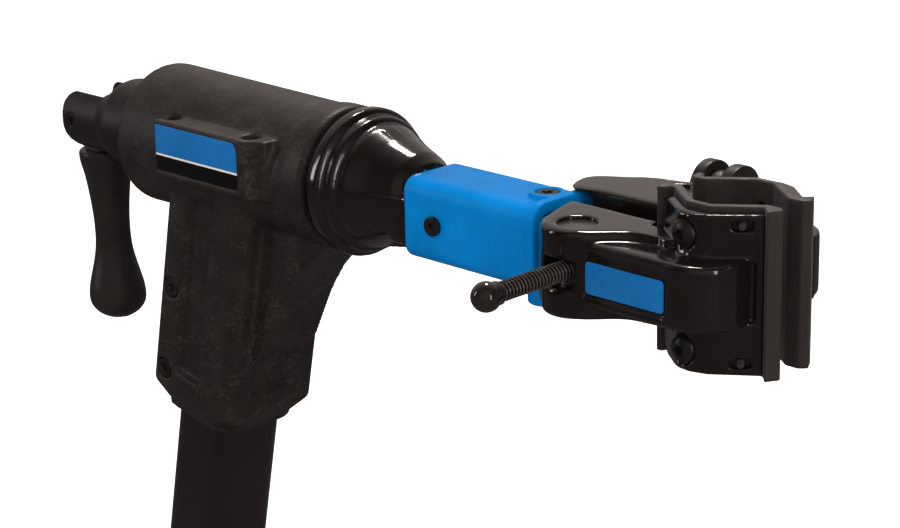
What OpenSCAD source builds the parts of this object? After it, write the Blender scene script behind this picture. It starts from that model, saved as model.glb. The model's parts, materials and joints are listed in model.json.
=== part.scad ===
// Two-leg portable bicycle repair stand with a rotating clamp head.
// Units are millimetres, +Z is up, +X is the way the clamp points.
// The world origin is on the floor under the end of the leaning mast.

/* [Stand] */
// height of the head axis above the floor as drawn
head_z = 1150; // [1000:5:1440]
// lean of the mast from the vertical, towards the clamp
lean = 12; // [8:0.5:16]
// outside width of the sliding upper mast tube
upper_w = 47; // [40:0.5:52]
// outside width of the lower mast tube
lower_w = 56; // [50:0.5:64]
// wall of both mast tubes
tube_wall = 3; // [2:0.25:4]
// length from leg pivot to foot centre
leg_len = 860; // [760:5:900]
// outside diameter of a leg tube
leg_d = 30; // [25:1:36]
// angle between an open leg and the mast
leg_spread = 64; // [56:1:68]
// angle of each leg to the side of the clamp direction
leg_azimuth = 36; // [30:1:45]

/* [Head] */
// radius of the head barrel at its rear end
barrel_r = 40; // [36:0.5:44]
// length of the head barrel
barrel_len = 154; // [140:1:170]
// radius of the rotating spindle inside the barrel
spindle_r = 25; // [20:0.5:28]
// distance from the barrel end to the mast axis
mast_cross = 73; // [60:1:90]
// length of neck below the head axis, along the mast
neck_len = 161.5; // [140:0.5:175]

/* [Clamp] */
// distance from the barrel end to the arm pivot bolt
pivot_x = 294; // [270:1:310]
// distance from the barrel end to the clamp rod
rod_x = 346; // [330:1:360]
// sideways distance of each barrel nut from the middle
nut_y = 36; // [30:0.5:40]
// height of the rubber jaw covers
jaw_h = 80; // [60:1:100]
// outside width of the square blue arm
arm_w = 43; // [38:0.5:48]

/* [Hidden] */
// ----- fits -----
run = 0.06;
gap = 0.35;
// ----- mast -----
upper_c = 12;
lower_c = 15;
head_s = head_z / cos(lean);
head_x = head_z * tan(lean) - mast_cross;
neck_end = head_s - neck_len;
low_s0 = 14;
low_s1 = 806;
collar_s0 = 782;
collar_s1 = 846;
upper_s0 = 421;
upper_s1 = head_s - 46;
// ----- legs -----
leg_r = 56;
foot_r = 19;
leg_dz = cos(leg_spread) * cos(lean) + sin(leg_spread) * cos(leg_azimuth) * sin(lean);
leg_s = (foot_r + leg_len * leg_dz + leg_r * cos(leg_azimuth) * sin(lean)) / cos(lean);
pivot_r = 4;
collar_zc = 36;
lug_gap = 16.8;
// ----- head -----
arm_zc = -5.6;
flange_x0 = barrel_len + 6;
flange_x1 = flange_x0 + 8.4;
hub_r = barrel_r - 0.2;
arm_x0 = flange_x1 + 45.6;
spigot_x1 = pivot_x - 32;
arm_screw_x = arm_x0 + 22;
lip_x1 = pivot_x + 12.5;
lock_x = -68;
boss_x = [47, 113];
boss_y = -35.5;
neck_panel = 21;
neck_screw_s = [-86, -138];
lock_cam_r = 8;
fork_x0 = lock_x - 8;
fork_r = 22.5;
fork_slot = 15;
fork_round = 9;
fork_flat = sqrt(pow(fork_r, 2) - pow(fork_slot, 2)) - fork_round;
fork_root_x = -36;
fork_root_r = 26;
grip_len = 125.8;
cam_y = 72.2;
cam_z = 14;
knuckle_r = 17;
nut_r = 9.5;
rod_r = 4.95;
jaw_x = rod_x + 63;
jaw_y = 26.2;
plate_t = 7.3;
screw_z = jaw_h / 2 - 12.7;
screw_face = jaw_y + plate_t - 1;
bar_y = nut_y + 11.5;
arm_h = 21.5;
$fn = 48;

// ---------- shared shapes ----------
module rsq(w, h, r) {
  square([w - 2 * r, h], center = true);
  square([w, h - 2 * r], center = true);
  for (i = [-1, 1])
    for (j = [-1, 1])
      translate([i * (w / 2 - r), j * (h / 2 - r)]) circle(r = r);
}

module mast(s = 0) {
  rotate([0, lean, 0]) translate([0, 0, s]) children();
}

module head() {
  translate([head_x, 0, head_z]) children();
}

// cylinder along X from x0 to x1
module xcyl(x0, x1, r) {
  translate([x0, 0, 0]) rotate([0, 90, 0]) cylinder(r = r, h = x1 - x0);
}

// cylinder along Y from y0 to y1
module ycyl(y0, y1, r) {
  translate([0, y0, 0]) rotate([-90, 0, 0]) cylinder(r = r, h = y1 - y0);
}

// body of revolution about X, points are [radius, x]
module xrev(pts) {
  rotate([0, 90, 0]) rotate_extrude($fn = 72) polygon(pts);
}

// leg frame: origin at the leg pivot, local -Z down the open leg, local Y the pivot axis
module leg_frame(side) {
  mast(leg_s) rotate([0, 0, side * leg_azimuth]) translate([leg_r, 0, 0])
    rotate([0, -leg_spread, 0]) children();
}

module leg_lug_frame(side) {
  mast(leg_s) rotate([0, 0, side * leg_azimuth]) translate([leg_r, 0, 0]) children();
}

// clamp ears, cross bolt, cam pin and lever shared by both mast collars
ear_x = -47.6;
eye_y = -29;
module collar_ears(z0, z1) {
  for (j = [-1, 1])
    translate([-58, j > 0 ? 2.2 : -14.2, z0]) cube([28, 12, z1 - z0]);
}

module ears_cut(zc) {
  translate([ear_x, 0, zc]) ycyl(-30, 30, 3.25);
}

module cross_bolt(zc) {
  translate([ear_x, 0, zc]) {
    difference() {
      union() {
        ycyl(-24, 17.5, 3.2);
        translate([0, eye_y, -3.9]) cylinder(r = 6.5, h = 7.8);
      }
      translate([0, eye_y, -5]) cylinder(r = 2.56, h = 10);
    }
    translate([0, 14.3, 0]) rotate([-90, 0, 0]) cylinder(r = 6.2, h = 5.5, $fn = 6);
  }
}

module cam_cross_pin(zc) {
  translate([ear_x, eye_y, zc - 11.5]) cylinder(r = 2.5, h = 23);
}

module cam_handle(zc) {
  translate([ear_x, eye_y, zc]) difference() {
    union() {
      translate([0, 0, -11]) cylinder(r = 14.4, h = 22);
      translate([0, 0, -9]) linear_extrude(18) polygon([[-9, -8], [10, -8], [22, -12.5], [42, -17],
        [64, -19], [84, -17.5], [98, -12.5], [101, -13.5], [101.5, -16], [92, -22], [74, -26], [52, -26.5],
        [30, -23.5], [10, -18.5], [-6, -13]]);
    }
    translate([-16, -9, -4.3]) cube([28.5, 24, 8.6]);
    translate([0, 0, -12]) cylinder(r = 2.5 + run, h = 24);
  }
}

// ---------- base ----------
module mast_foot() {
  color("#20211f") intersection() {
    mast(-20) difference() {
      union() {
        linear_extrude(62) rsq(64, 64, 18);
        linear_extrude(78) rsq(60.6, 60.6, 17);
      }
      translate([0, 0, 20 + low_s0]) linear_extrude(80) rsq(lower_w + 0.1, lower_w + 0.1, lower_c);
      for (s = [30, 38, 46])
        translate([0, 0, s]) difference() {
          linear_extrude(2.5) square(80, center = true);
          translate([0, 0, -1]) linear_extrude(5) rsq(62, 62, 17);
        }
    }
    translate([-60, -60, 0]) cube([140, 120, 120]);
  }
}

module lower_tube() {
  color("#141416") mast(low_s0) difference() {
    linear_extrude(low_s1 - low_s0) rsq(lower_w, lower_w, lower_c);
    translate([0, 0, -1]) linear_extrude(low_s1 - low_s0 + 2)
      rsq(lower_w - 2 * tube_wall, lower_w - 2 * tube_wall, lower_c - tube_wall);
  }
}

module height_collar() {
  color("#1d1d1f") mast() difference() {
    union() {
      translate([0, 0, collar_s0]) linear_extrude(collar_s1 - collar_s0 - 6) rsq(70, 70, 20);
      translate([0, 0, collar_s1 - 6]) linear_extrude(6) rsq(64, 64, 18);
      collar_ears(collar_s0 + 14, collar_s1 - 10);
    }
    translate([0, 0, collar_s0 - 1]) linear_extrude(low_s1 - collar_s0 + 1)
      rsq(lower_w + 0.1, lower_w + 0.1, lower_c);
    translate([0, 0, collar_s0 - 1]) linear_extrude(90) rsq(upper_w + 0.7, upper_w + 0.7, upper_c);
    translate([-60, -2, collar_s0 + 24.5]) cube([40, 4, 60]);
    ears_cut((collar_s0 + collar_s1) / 2 + 4);
  }
}

module height_bolt() {
  color("#8d8f92") mast() cross_bolt((collar_s0 + collar_s1) / 2 + 4);
}

module height_pin() {
  color("#8d8f92") mast() cam_cross_pin((collar_s0 + collar_s1) / 2 + 4);
}

module height_lever() {
  color("#17181a") mast() cam_handle((collar_s0 + collar_s1) / 2 + 4);
}

// ---------- sliding mast and head housing ----------
module upper_tube() {
  color("#141416") mast(upper_s0) difference() {
    linear_extrude(upper_s1 - upper_s0) rsq(upper_w, upper_w, upper_c);
    translate([0, 0, -1]) linear_extrude(upper_s1 - upper_s0 + 2)
      rsq(upper_w - 2 * tube_wall, upper_w - 2 * tube_wall, upper_c - tube_wall);
  }
}

module slide_shoe() {
  w = lower_w - 2 * tube_wall - 0.7;
  v = upper_w - 2 * tube_wall - 0.2;
  color("#2b2c2e") mast(upper_s0) {
    translate([0, 0, -8]) linear_extrude(7.9) rsq(w, w, lower_c - tube_wall);
    translate([0, 0, -8]) linear_extrude(34) rsq(v, v, upper_c - tube_wall);
  }
}

// block of the neck with its recessed side and front panels
module neck_block() {
  mast(head_s) difference() {
    union() {
      translate([0, 0, 14 - neck_len]) linear_extrude(neck_len - 30) rsq(69, 67, 8);
      translate([0, 0, -neck_len]) linear_extrude(20) rsq(58, 58, 15);
      hull() {
        translate([0, 0, 13.6 - neck_len]) linear_extrude(1) rsq(69, 67, 8);
        translate([0, 0, 5 - neck_len]) linear_extrude(1) rsq(60, 60, 15);
      }
    }
    for (j = [-1, 1])
      translate([-14.3, j * 33.5 - 4, 26 - neck_len]) cube([neck_panel, 8, neck_len - 44]);
    translate([31.5, -15, 26 - neck_len]) cube([6, 30, neck_len - 125]);
  }
}

module head_housing() {
  color("#1c1b1a") difference() {
    union() {
      // barrel
      head() xrev([[0, 0], [barrel_r - 1.6, 0], [barrel_r - 0.4, 0.5], [barrel_r, 1.8],
        [barrel_r, 5.8], [barrel_r - 2.3, barrel_len - 21], [barrel_r - 1.1, barrel_len - 13],
        [barrel_r - 1.2, barrel_len - 2.5], [barrel_r - 2.6, barrel_len], [0, barrel_len]]);
      neck_block();
      // gusset below the front of the barrel
      head() translate([0, 20, 0]) rotate([90, 0, 0]) linear_extrude(40)
        polygon([[mast_cross + 17, -25], [barrel_len - 6, -25], [barrel_len - 6, -36.5],
          [barrel_len - 11, -41], [barrel_len - 20, -48], [barrel_len - 31, -59],
          [barrel_len - 41, -73], [barrel_len - 50, -90], [barrel_len - 58, -106],
          [mast_cross + 11, -118], [mast_cross - 13, -104]]);
      // label boss with a flared front end
      head() {
        translate([0, 0, -10]) linear_extrude(32.8) polygon([[42, -22], [42, -45.2], [42.8, -46],
          [114.5, -46], [116.8, -45.2], [118.3, -43.4], [120.4, -41.8], [124, -40.5], [128.5, -39.4],
          [128.5, -22]]);
      }
    }
    head() {
      // bore for the bushes and the spindle
      xcyl(8, barrel_len + 1, 30);
      xcyl(-1, 9, 12.1);
      // label recess
      translate([42.9, -47, -5.8]) cube([69.4, 2.2, 26.8]);
      // screw wells of the label boss
      for (x = boss_x)
        translate([x, boss_y, 0]) {
          translate([0, 0, 14]) cylinder(r = 4.9, h = 40);
          translate([0, 0, -6]) cylinder(r = 2.55, h = 30);
        }
    }
    // socket for the upper tube
    mast(head_s - neck_len - 1) linear_extrude(neck_len - 44.5)
      rsq(upper_w + 0.1, upper_w + 0.1, upper_c);
    // screw pockets
    for (s = neck_screw_s)
      mast(head_s + s) translate([-23, 0, 0]) {
        ycyl(-40, -28.5, 6.2);
        ycyl(-30, 30, 3.05);
        ycyl(28.5, 40, 6.2);
      }
  }
}

module socket_screw(l) {
  difference() {
    union() {
      cylinder(r = 5.6, h = 4.2);
      translate([0, 0, -l]) cylinder(r = 3, h = l + 0.1);
    }
    translate([0, 0, 1.6]) cylinder(r = 2.9, h = 4, $fn = 6);
  }
}

module neck_screws() {
  color("#3a3b3d") for (s = neck_screw_s)
    mast(head_s + s) translate([-23, 0, 0]) {
      translate([0, -28.5, 0]) rotate([90, 0, 0]) socket_screw(4);
      translate([0, 28.5, 0]) rotate([-90, 0, 0]) socket_screw(4);
    }
}

module housing_label() {
  color("#1f63a8") head() translate([43.2, -45.6, -5.5]) cube([68.8, 0.8, 26.2]);
}

module boss_screws() {
  color("#3a3b3d") head() for (x = boss_x)
    translate([x, boss_y, 14]) difference() {
      union() {
        cylinder(r = 4.3, h = 3.4);
        translate([0, 0, -15]) cylinder(r = 2.5, h = 15.1);
      }
      translate([0, 0, 1.4]) cylinder(r = 2, h = 3, $fn = 6);
    }
}

module spindle_bushes() {
  color("#c9c4b4") head() for (x = [12, barrel_len - 22])
    difference() {
      xcyl(x, x + 22, 29.95);
      xcyl(x - 1, x + 23, spindle_r + run);
    }
}

module lock_fork() {
  color("#1a1a1b") head() difference() {
    union() {
      // two cheeks cut from a round bar, their ends rounded off across the pin
      intersection() {
        xcyl(fork_x0 - 1, -0.1, fork_r);
        union() {
          for (j = [-1, 1])
            translate([fork_x0 + fork_round, 0, j * fork_flat]) ycyl(-30, 30, fork_round);
          translate([fork_x0, -30, -fork_flat]) cube([30, 60, 2 * fork_flat]);
          translate([fork_x0 + fork_round, -30, -30]) cube([-fork_round - fork_x0, 60, 60]);
        }
      }
      // wider root against the barrel
      xrev([[0, fork_root_x - 8], [fork_r - 0.2, fork_root_x - 8], [fork_root_r, fork_root_x + 3],
        [fork_root_r, -0.1], [0, -0.1]]);
      xcyl(-1, 7.9, 12);
    }
    // slot for the lever
    translate([fork_x0 - 5, -fork_slot, -30]) cube([fork_root_x - 1 - fork_x0 + 5, 2 * fork_slot, 60]);
    // pin bore and plunger bore
    translate([lock_x, 0, 0]) ycyl(-30, 30, 4);
    xcyl(fork_root_x - 2, 9, 6.1);
  }
}

module lock_pin() {
  pin_half = fork_r - 0.9;
  color("#8d8f92") head() translate([lock_x, 0, 0]) difference() {
    ycyl(-pin_half, pin_half, 3.95);
    for (j = [-1, 1])
      translate([0, j * pin_half, 0]) rotate([90, 0, 0]) translate([0, 0, -2])
        cylinder(r = 2.4, h = 4, $fn = 6);
  }
}

module lock_lever() {
  color("#151516") head() translate([lock_x, 0, 0]) difference() {
    union() {
      // eye as wide as the slot, and the cam that bears on the plunger
      ycyl(gap - fork_slot, fork_slot - gap, 5.9);
      ycyl(-8, 8, lock_cam_r);
      translate([-lock_cam_r, -8, -26]) cube([2 * lock_cam_r, 16, 26]);
      // grip, flared at the top, waisted, with a bulb at the end
      translate([2.4, 0, 0]) rotate([0, -1.5, 0]) mirror([0, 0, 1]) rotate_extrude($fn = 64)
        polygon([[0, 21], [15.4, 21], [16.2, 22.4], [15.9, 27], [14.3, 35], [12.6, 46], [11.4, 57],
          [10.8, 67], [10.8, 75], [11.5, 83], [13.1, 91], [15.2, 99], [16.8, 106], [17.3, 111.5],
          [16.7, 117], [14.6, 121.2], [10.6, 124.2], [5, grip_len - 0.3], [0, grip_len]]);
    }
    ycyl(-30, 30, 3.95 + run);
  }
}

module lock_plunger() {
  color("#8d8f92") head() xcyl(lock_x + lock_cam_r + 0.4, 9.6, 6.04);
}

// ---------- rotating arm ----------
module thrust_washer() {
  color("#2b2c2e") head() difference() {
    xcyl(barrel_len + 0.1, flange_x0 - gap, 35);
    xcyl(barrel_len - 1, flange_x0 + 1, spindle_r + 0.4);
  }
}

module arm_spindle() {
  color("#0e0e10") head() {
    xrev([[0, 10], [spindle_r - 1.5, 10], [spindle_r, 11.5], [spindle_r, flange_x0],
      [hub_r - 1.2, flange_x0], [hub_r, flange_x0 + 1.4], [hub_r, flange_x1 - 1.4],
      [hub_r - 1.2, flange_x1], [hub_r - 3.4, flange_x1 + 0.4], [hub_r - 3.6, flange_x1 + 5.4],
      [hub_r - 4.8, flange_x1 + 6.6], [hub_r - 7, flange_x1 + 7], [hub_r - 7.2, flange_x1 + 11],
      [hub_r - 12, flange_x1 + 21.5],
      [hub_r - 17.3, flange_x1 + 37], [hub_r - 21.8, flange_x1 + 44], [0, flange_x1 + 44]]);
    translate([flange_x1 + 30, 0, arm_zc]) rotate([90, 0, 90]) linear_extrude(spigot_x1 - flange_x1 - 30)
      rsq(35, 35, 4);
    for (a = [0, 90, 180, 270])
      rotate([a, 0, 0]) translate([0, 4, 0]) rotate([90, 0, 0]) linear_extrude(8)
        polygon([[flange_x1 + 4, 0], [flange_x1 + 4, hub_r - 6.6], [flange_x1 + 14, hub_r - 8.2],
          [arm_x0 - 0.4, arm_w / 2 - 0.1 + (a == 0 ? arm_zc - 0.2 : a == 180 ? 5.1 : 0)],
          [arm_x0 - 0.4, 0]]);
  }
}

module clamp_arm() {
  color("#1b7fd0") head() difference() {
    union() {
      translate([arm_x0, 0, arm_zc]) rotate([90, 0, 90]) linear_extrude(lip_x1 - arm_x0)
        rsq(arm_w, arm_w, 8);
      // rolled lip, flush on the side of the far arm
      translate([lip_x1 - 5.5, -1.2, arm_zc]) rotate([90, 0, 90]) linear_extrude(5.5)
        rsq(arm_w + 3, arm_w + 5.4, 9.5);
      translate([pivot_x, 0, arm_zc + arm_w / 2 - 2]) cylinder(r = 9.2, h = 5.2);
      translate([pivot_x, 0, arm_zc - arm_w / 2 - 11]) cylinder(r = 10.5, h = 13);
    }
    translate([arm_x0 - 1, 0, arm_zc]) rotate([90, 0, 90]) linear_extrude(lip_x1 - arm_x0 + 2)
      rsq(35.1, 35.1, 4);
    translate([pivot_x, 0, -60]) cylinder(r = 5.02, h = 120);
    translate([pivot_x, 0, arm_zc + arm_w / 2 - 0.6]) cylinder(r = 6.3, h = 10);
    for (j = [-1, 1])
      translate([arm_screw_x, 0, arm_zc]) ycyl(j > 0 ? 16 : -30, j > 0 ? 30 : -16, 3.05);
  }
}

module arm_screws() {
  color("#3a3b3d") head() for (j = [-1, 1])
    translate([arm_screw_x, j * arm_w / 2, arm_zc]) rotate([j * -90, 0, 0]) difference() {
      union() {
        cylinder(r = 5, h = 2.6);
        translate([0, 0, -3.9]) cylinder(r = 3, h = 4);
      }
      translate([0, 0, 1]) cylinder(r = 1.8, h = 3, $fn = 6);
    }
}

module pivot_bolt() {
  zt = arm_zc + arm_w / 2 - 0.5;
  zb = arm_zc - arm_w / 2 - 11;
  color("#3a3b3d") head() translate([pivot_x, 0, 0]) difference() {
    union() {
      translate([0, 0, zb + 1]) cylinder(r = 5, h = zt - zb - 1);
      translate([0, 0, zt]) cylinder(r = 6, h = 3);
    }
    translate([0, 0, zt + 1]) cylinder(r = 3, h = 4, $fn = 6);
  }
}

// ---------- clamp arms, drawn for the -Y side ----------
jaw_in = [[-26.2, -11.2], [-6.5, -jaw_y], [6.5, -jaw_y], [26.2, -11.8]];
module jaw_shell() {
  translate([jaw_x, 0, 0]) intersection() {
    translate([0, 0, 2.5 - jaw_h / 2]) linear_extrude(jaw_h - 5)
      polygon([jaw_in[0], jaw_in[1], jaw_in[2], jaw_in[3], [29.7, -15],
        [9.5, 1.5 - jaw_y - plate_t], [3, -1 - jaw_y - plate_t], [-5, -jaw_y - plate_t],
        [-28.8, -15.4]]);
    translate([0, -5, 0]) rotate([90, 0, 0]) linear_extrude(40) {
      translate([6, 0]) square([54, jaw_h - 5], center = true);
      translate([3, 0]) square([64, jaw_h - 27], center = true);
      for (j = [-1, 1])
        translate([-18, j * (jaw_h / 2 - 13.5)]) circle(r = 11);
    }
  }
}

// flat joining the eye on the pivot bolt to the body of the arm
module pivot_neck() {
  polygon([[pivot_x, -10], [pivot_x, 11], [pivot_x + 16, 4], [rod_x - 24, -8],
    [rod_x - 24, -20], [pivot_x + 18, -9.5]]);
}

// outline of the knuckle and of the web that runs from it to the jaw
module web_outline() {
  polygon([[-31.5, -9], [26, -10.3], [29, -17.4], [36, -18], [52, -27], [52, -30.5], [49, -31.5],
    [44.7, -30.6], [37.5, -31], [30.3, -33], [24.5, -37], [19.2, -42.2], [14.5, -46.8], [9, -nut_y - 14.5],
    [0, -nut_y - 5], [-15, -nut_y - 8], [-21, -nut_y - 4], [-26, -nut_y + 2], [-30.5, -28],
    [-32, -20]]);
}

// plan of the heel, kept on the outer side of the line y = y1
module heel(y1) {
  intersection() {
    translate([pivot_x, 0]) polygon([[24, -9], [12, -5.5], [6, -10], [2.5, -17], [1, -25], [4, -31],
      [10, -35.4], [18, -40], [23, -44.5], [32, -48.5], [39, -49.5], [52, -49], [52, -12]]);
    translate([pivot_x - 10, y1 - 60]) square([90, 60]);
  }
}

module arm_solid(mid) {
  translate([rod_x, 0, -arm_h]) linear_extrude(2 * arm_h) web_outline();
  translate([rod_x, -nut_y, -arm_h]) cylinder(r = knuckle_r, h = 2 * arm_h);
  // bar that carries the label and runs out into a rounded boss on the jaw
  translate([rod_x, 0, -14]) linear_extrude(31) polygon([[0, -bar_y], [67, -bar_y], [74, -46.2],
    [80, -42.6], [84, -37.2], [86.4, -30.5], [87.2, -24], [87, -17], [72, -24], [54, -27], [0, -24]]);
  jaw_shell();
  if (mid) {
    translate([pivot_x, 0, -12.3]) cylinder(r = 12, h = 16);
    translate([0, 0, -12.3]) linear_extrude(16) pivot_neck();
    // heel beside the blue arm, with a thin lid that runs over its lip
    translate([0, 0, 5]) linear_extrude(arm_h - 5) heel(-24.6);
    translate([0, 0, 19.2]) linear_extrude(arm_h - 19.2) heel(-5.5);
  }
  else {
    for (z = [[-22.8, 10.1], [4.1, 7.6]]) {
      translate([pivot_x, 0, z[0]]) cylinder(r = 12, h = z[1]);
      translate([0, 0, z[0]]) linear_extrude(z[1]) pivot_neck();
    }
  }
}

module arm_cuts() {
  // hollow that the jaw cover lines
  translate([jaw_x, 0, -jaw_h / 2]) linear_extrude(jaw_h)
    polygon([[-28, 5], jaw_in[0], jaw_in[1], jaw_in[2], jaw_in[3], [37, -4], [37, 5]]);
  // pivot bore
  translate([pivot_x, 0, -40]) cylinder(r = 5 + run, h = 80);
  // barrel nut bore, open at the top
  translate([rod_x, -nut_y, -15]) cylinder(r = nut_r + run, h = 60);
  // slot for the rod, flared each way for the swing of the arm
  translate([rod_x, -nut_y, -7]) linear_extrude(14)
    polygon([[-7.4, 0], [-7.4, 6], [-17, 40], [17, 40], [7.4, 6], [7.4, 0], [7.4, -6], [11.5, -20],
      [-11.5, -20], [-7.4, -6]]);
  // label pocket
  translate([rod_x + 13.5, -bar_y - 1.5, -9.8]) cube([48.5, 3.2, 24]);
  // cover screws, each on a round flat
  for (j = [-1, 1])
    translate([jaw_x - 2, 0, j * screw_z]) {
      ycyl(-40, -20, 2.55);
      ycyl(-40, -screw_face, 7.6);
    }
  // windows for the nubs of the cover
  for (j = [-1, 1])
    translate([jaw_x + 18.2, -16.3, j * (screw_z + 5)]) rotate([0, 0, 36])
      translate([-4.6, -16, -2.3]) cube([9.2, 20, 4.6]);
  // groove beside the front of the arm
  translate([rod_x + 86.6, -34, -13]) cube([2.8, 17.6, 29]);
}

module near_arm() {
  color("#0e0e10") head() difference() {
    arm_solid(false);
    arm_cuts();
    // step behind the top of the knuckle
    translate([rod_x, 0, 16.4]) linear_extrude(10) polygon([[-40, -4], [-28, -4], [-28, -7.5],
      [-27.5, -11], [-26.1, -17.3], [-22.6, -28], [-18.4, -40], [-15, -47], [-16, -55], [-40, -55]]);
  }
}

module far_arm() {
  color("#0e0e10") head() mirror([0, 1, 0]) difference() {
    arm_solid(true);
    arm_cuts();
  }
}

module jaw_nubs(r, h) {
  for (j = [-1, 1])
    translate([jaw_x + 18.2, -16.3, j * (screw_z + 5)]) rotate([90, 0, 36]) cylinder(r = r, h = h);
}

module cover_body() {
  difference() {
    union() {
      translate([jaw_x, 0, -jaw_h / 2]) linear_extrude(jaw_h)
        polygon([[-23.3, -7.5], [-5, 4.2 - jaw_y], [5, 4.2 - jaw_y], [25, -7], [32.5, -7],
          [36, -10.5], [32, -17.4], [30, -15.1], [26.3, -11.6], [6.5, 0.2 - jaw_y],
          [-6.7, 0.4 - jaw_y], [-26.8, -10.6], [-29.4, -15.4], [-32.4, -15.6], [-32.4, -9.5],
          [-29.2, -7]]);
      // retaining nubs along the front edge
      jaw_nubs(1.6, 9.2);
    }
    for (j = [-1, 1])
      translate([jaw_x - 2, 0, j * screw_z]) ycyl(-40, 0, 2.55);
  }
}

module near_jaw_cover() {
  color("#26262a") head() cover_body();
}

module far_jaw_cover() {
  color("#26262a") head() mirror([0, 1, 0]) cover_body();
}

module jaw_screw_set() {
  for (j = [-1, 1])
    translate([jaw_x - 2, -0.1 - screw_face, j * screw_z]) rotate([90, 0, 0]) difference() {
      union() {
        cylinder(r1 = 6.6, r2 = 4.4, h = 3.4);
        translate([0, 0, -10.4]) cylinder(r = 2.5, h = 10.5);
      }
      translate([0, 0, 1.4]) cylinder(r = 2, h = 3, $fn = 6);
    }
}

module near_jaw_screws() {
  color("#3a3b3d") head() jaw_screw_set();
}

module far_jaw_screws() {
  color("#3a3b3d") head() mirror([0, 1, 0]) jaw_screw_set();
}

module arm_label_plate() {
  translate([rod_x + 14.2, 0.8 - bar_y, -7.7]) cube([46.6, 0.8, 15.4]);
}

module near_label() {
  color("#1b7fd0") head() arm_label_plate();
}

module far_label() {
  color("#1b7fd0") head() mirror([0, 1, 0]) arm_label_plate();
}

module barrel_nut() {
  difference() {
    translate([rod_x, -nut_y, -14.8]) cylinder(r = nut_r, h = 34.6);
    translate([rod_x, -nut_y, 0]) ycyl(-20, 20, rod_r + run);
  }
}

module near_nut() {
  color("#55585c") head() barrel_nut();
}

module far_nut() {
  color("#55585c") head() mirror([0, 1, 0]) barrel_nut();
}

module cam_saddle() {
  color("#b08d4a") head() translate([rod_x, 0, 0]) difference() {
    union() {
      ycyl(nut_y + knuckle_r + 1.3, cam_y - 13.9, 16);
      translate([-8, nut_y + 12, -12]) cube([16, 8, 24]);
    }
    translate([0, nut_y, -30]) cylinder(r = knuckle_r + gap, h = 60);
    ycyl(0, 80, rod_r + run);
  }
}

// thread crests every two millimetres between the two stops
thread_n = 27;
thread_pts = [for (i = [0 : thread_n - 1]) for (k = [0, 1])
  [k == 0 ? rod_r : rod_r - 0.9, -34 - 2 * i - k]];
module clamp_rod() {
  color("#3f4144") head() translate([rod_x, 0, 0]) difference() {
    union() {
      rotate([-90, 0, 0]) rotate_extrude($fn = 48)
        polygon(concat([[0, 76], [rod_r, 76], [rod_r, -32]], thread_pts, [[3.9, -88.5], [3.9, -93],
          [0, -93]]));
      translate([-4.6, cam_y - 8.6, -8.5]) cube([9.2, 17.2, 8.5 + cam_z]);
      translate([-4.6, cam_y, cam_z]) rotate([0, 90, 0]) cylinder(r = 8.6, h = 9.2);
    }
    translate([-10, cam_y, cam_z]) rotate([0, 90, 0]) cylinder(r = 3, h = 20);
  }
}

module rod_ball() {
  color("#1a1a1b") head() translate([rod_x, -97, 0]) difference() {
    union() {
      sphere(r = 7.2, $fn = 48);
      ycyl(0, 8, 6);
    }
    ycyl(3.4, 10, 3.95);
  }
}

module cam_pin() {
  color("#8d8f92") head() translate([rod_x, cam_y, cam_z]) xcyl(-12.6, 12.6, 2.95);
}

module clamp_lever() {
  color("#17181a") head() translate([rod_x, cam_y, cam_z]) difference() {
    union() {
      xcyl(-12, 12, 13.5);
      translate([-12, 0, -26]) cube([24, 13.2, 26]);
      translate([-11, 0, 0]) rotate([90, 0, 90]) linear_extrude(22)
        polygon([[-2, -22], [0, -30], [4, -44], [6, -58], [6.4, -72], [9, -76], [14, -76.5], [17.5, -73],
          [18.2, -60], [17, -44], [14.6, -30], [13.2, -18]]);
    }
    translate([-5.1, -16, -24.5]) cube([10.2, 27.5, 20]);
    translate([-5.1, -16, -12]) cube([10.2, 32, 30]);
    xcyl(-14, 14, 2.95 + run);
  }
}

// ---------- legs ----------
module leg_collar() {
  color("#1d1d1f") difference() {
    union() {
      mast(leg_s - 21) linear_extrude(73) rsq(71, 71, 20);
      mast(leg_s) collar_ears(collar_zc - 15, collar_zc + 15);
      for (side = [-1, 1])
        leg_lug_frame(side) for (j = [-1, 1])
          translate([0, j > 0 ? lug_gap / 2 : -lug_gap / 2 - 6, 0]) {
            rotate([-90, 0, 0]) cylinder(r = 13.5, h = 6);
            translate([-30, 0, -13.5]) cube([30, 6, 27]);
          }
    }
    mast(leg_s - 40) linear_extrude(110) rsq(lower_w + 0.7, lower_w + 0.7, lower_c);
    mast(leg_s) translate([-60, -2, 16]) cube([40, 4, 60]);
    mast(leg_s) ears_cut(collar_zc);
    for (side = [-1, 1])
      leg_lug_frame(side) ycyl(-30, 30, pivot_r + run);
  }
}

module collar_bolt() {
  color("#8d8f92") mast(leg_s) cross_bolt(collar_zc);
}

module collar_pin() {
  color("#8d8f92") mast(leg_s) cam_cross_pin(collar_zc);
}

module collar_lever() {
  color("#17181a") mast(leg_s) cam_handle(collar_zc);
}

module leg_bolts() {
  color("#8d8f92") for (side = [-1, 1])
    leg_lug_frame(side) {
      ycyl(-lug_gap / 2 - 6.2, lug_gap / 2 + 6.2, pivot_r);
      ycyl(-lug_gap / 2 - 9.6, -lug_gap / 2 - 6.1, 6.8);
      translate([0, lug_gap / 2 + 6.1, 0]) rotate([-90, 0, 0]) cylinder(r = 7, h = 4, $fn = 6);
    }
}

module leg_knuckle(side) {
  leg_frame(side) difference() {
    union() {
      ycyl(-8.1, 8.1, 12.6);
      translate([-9, -8.1, -30]) cube([18, 16.2, 30]);
      translate([0, 0, -44]) cylinder(r = leg_d / 2 + 1.8, h = 17);
      translate([0, 0, -80]) cylinder(r = leg_d / 2 - 2.05, h = 40);
    }
    ycyl(-10, 10, pivot_r + run);
  }
}

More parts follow.
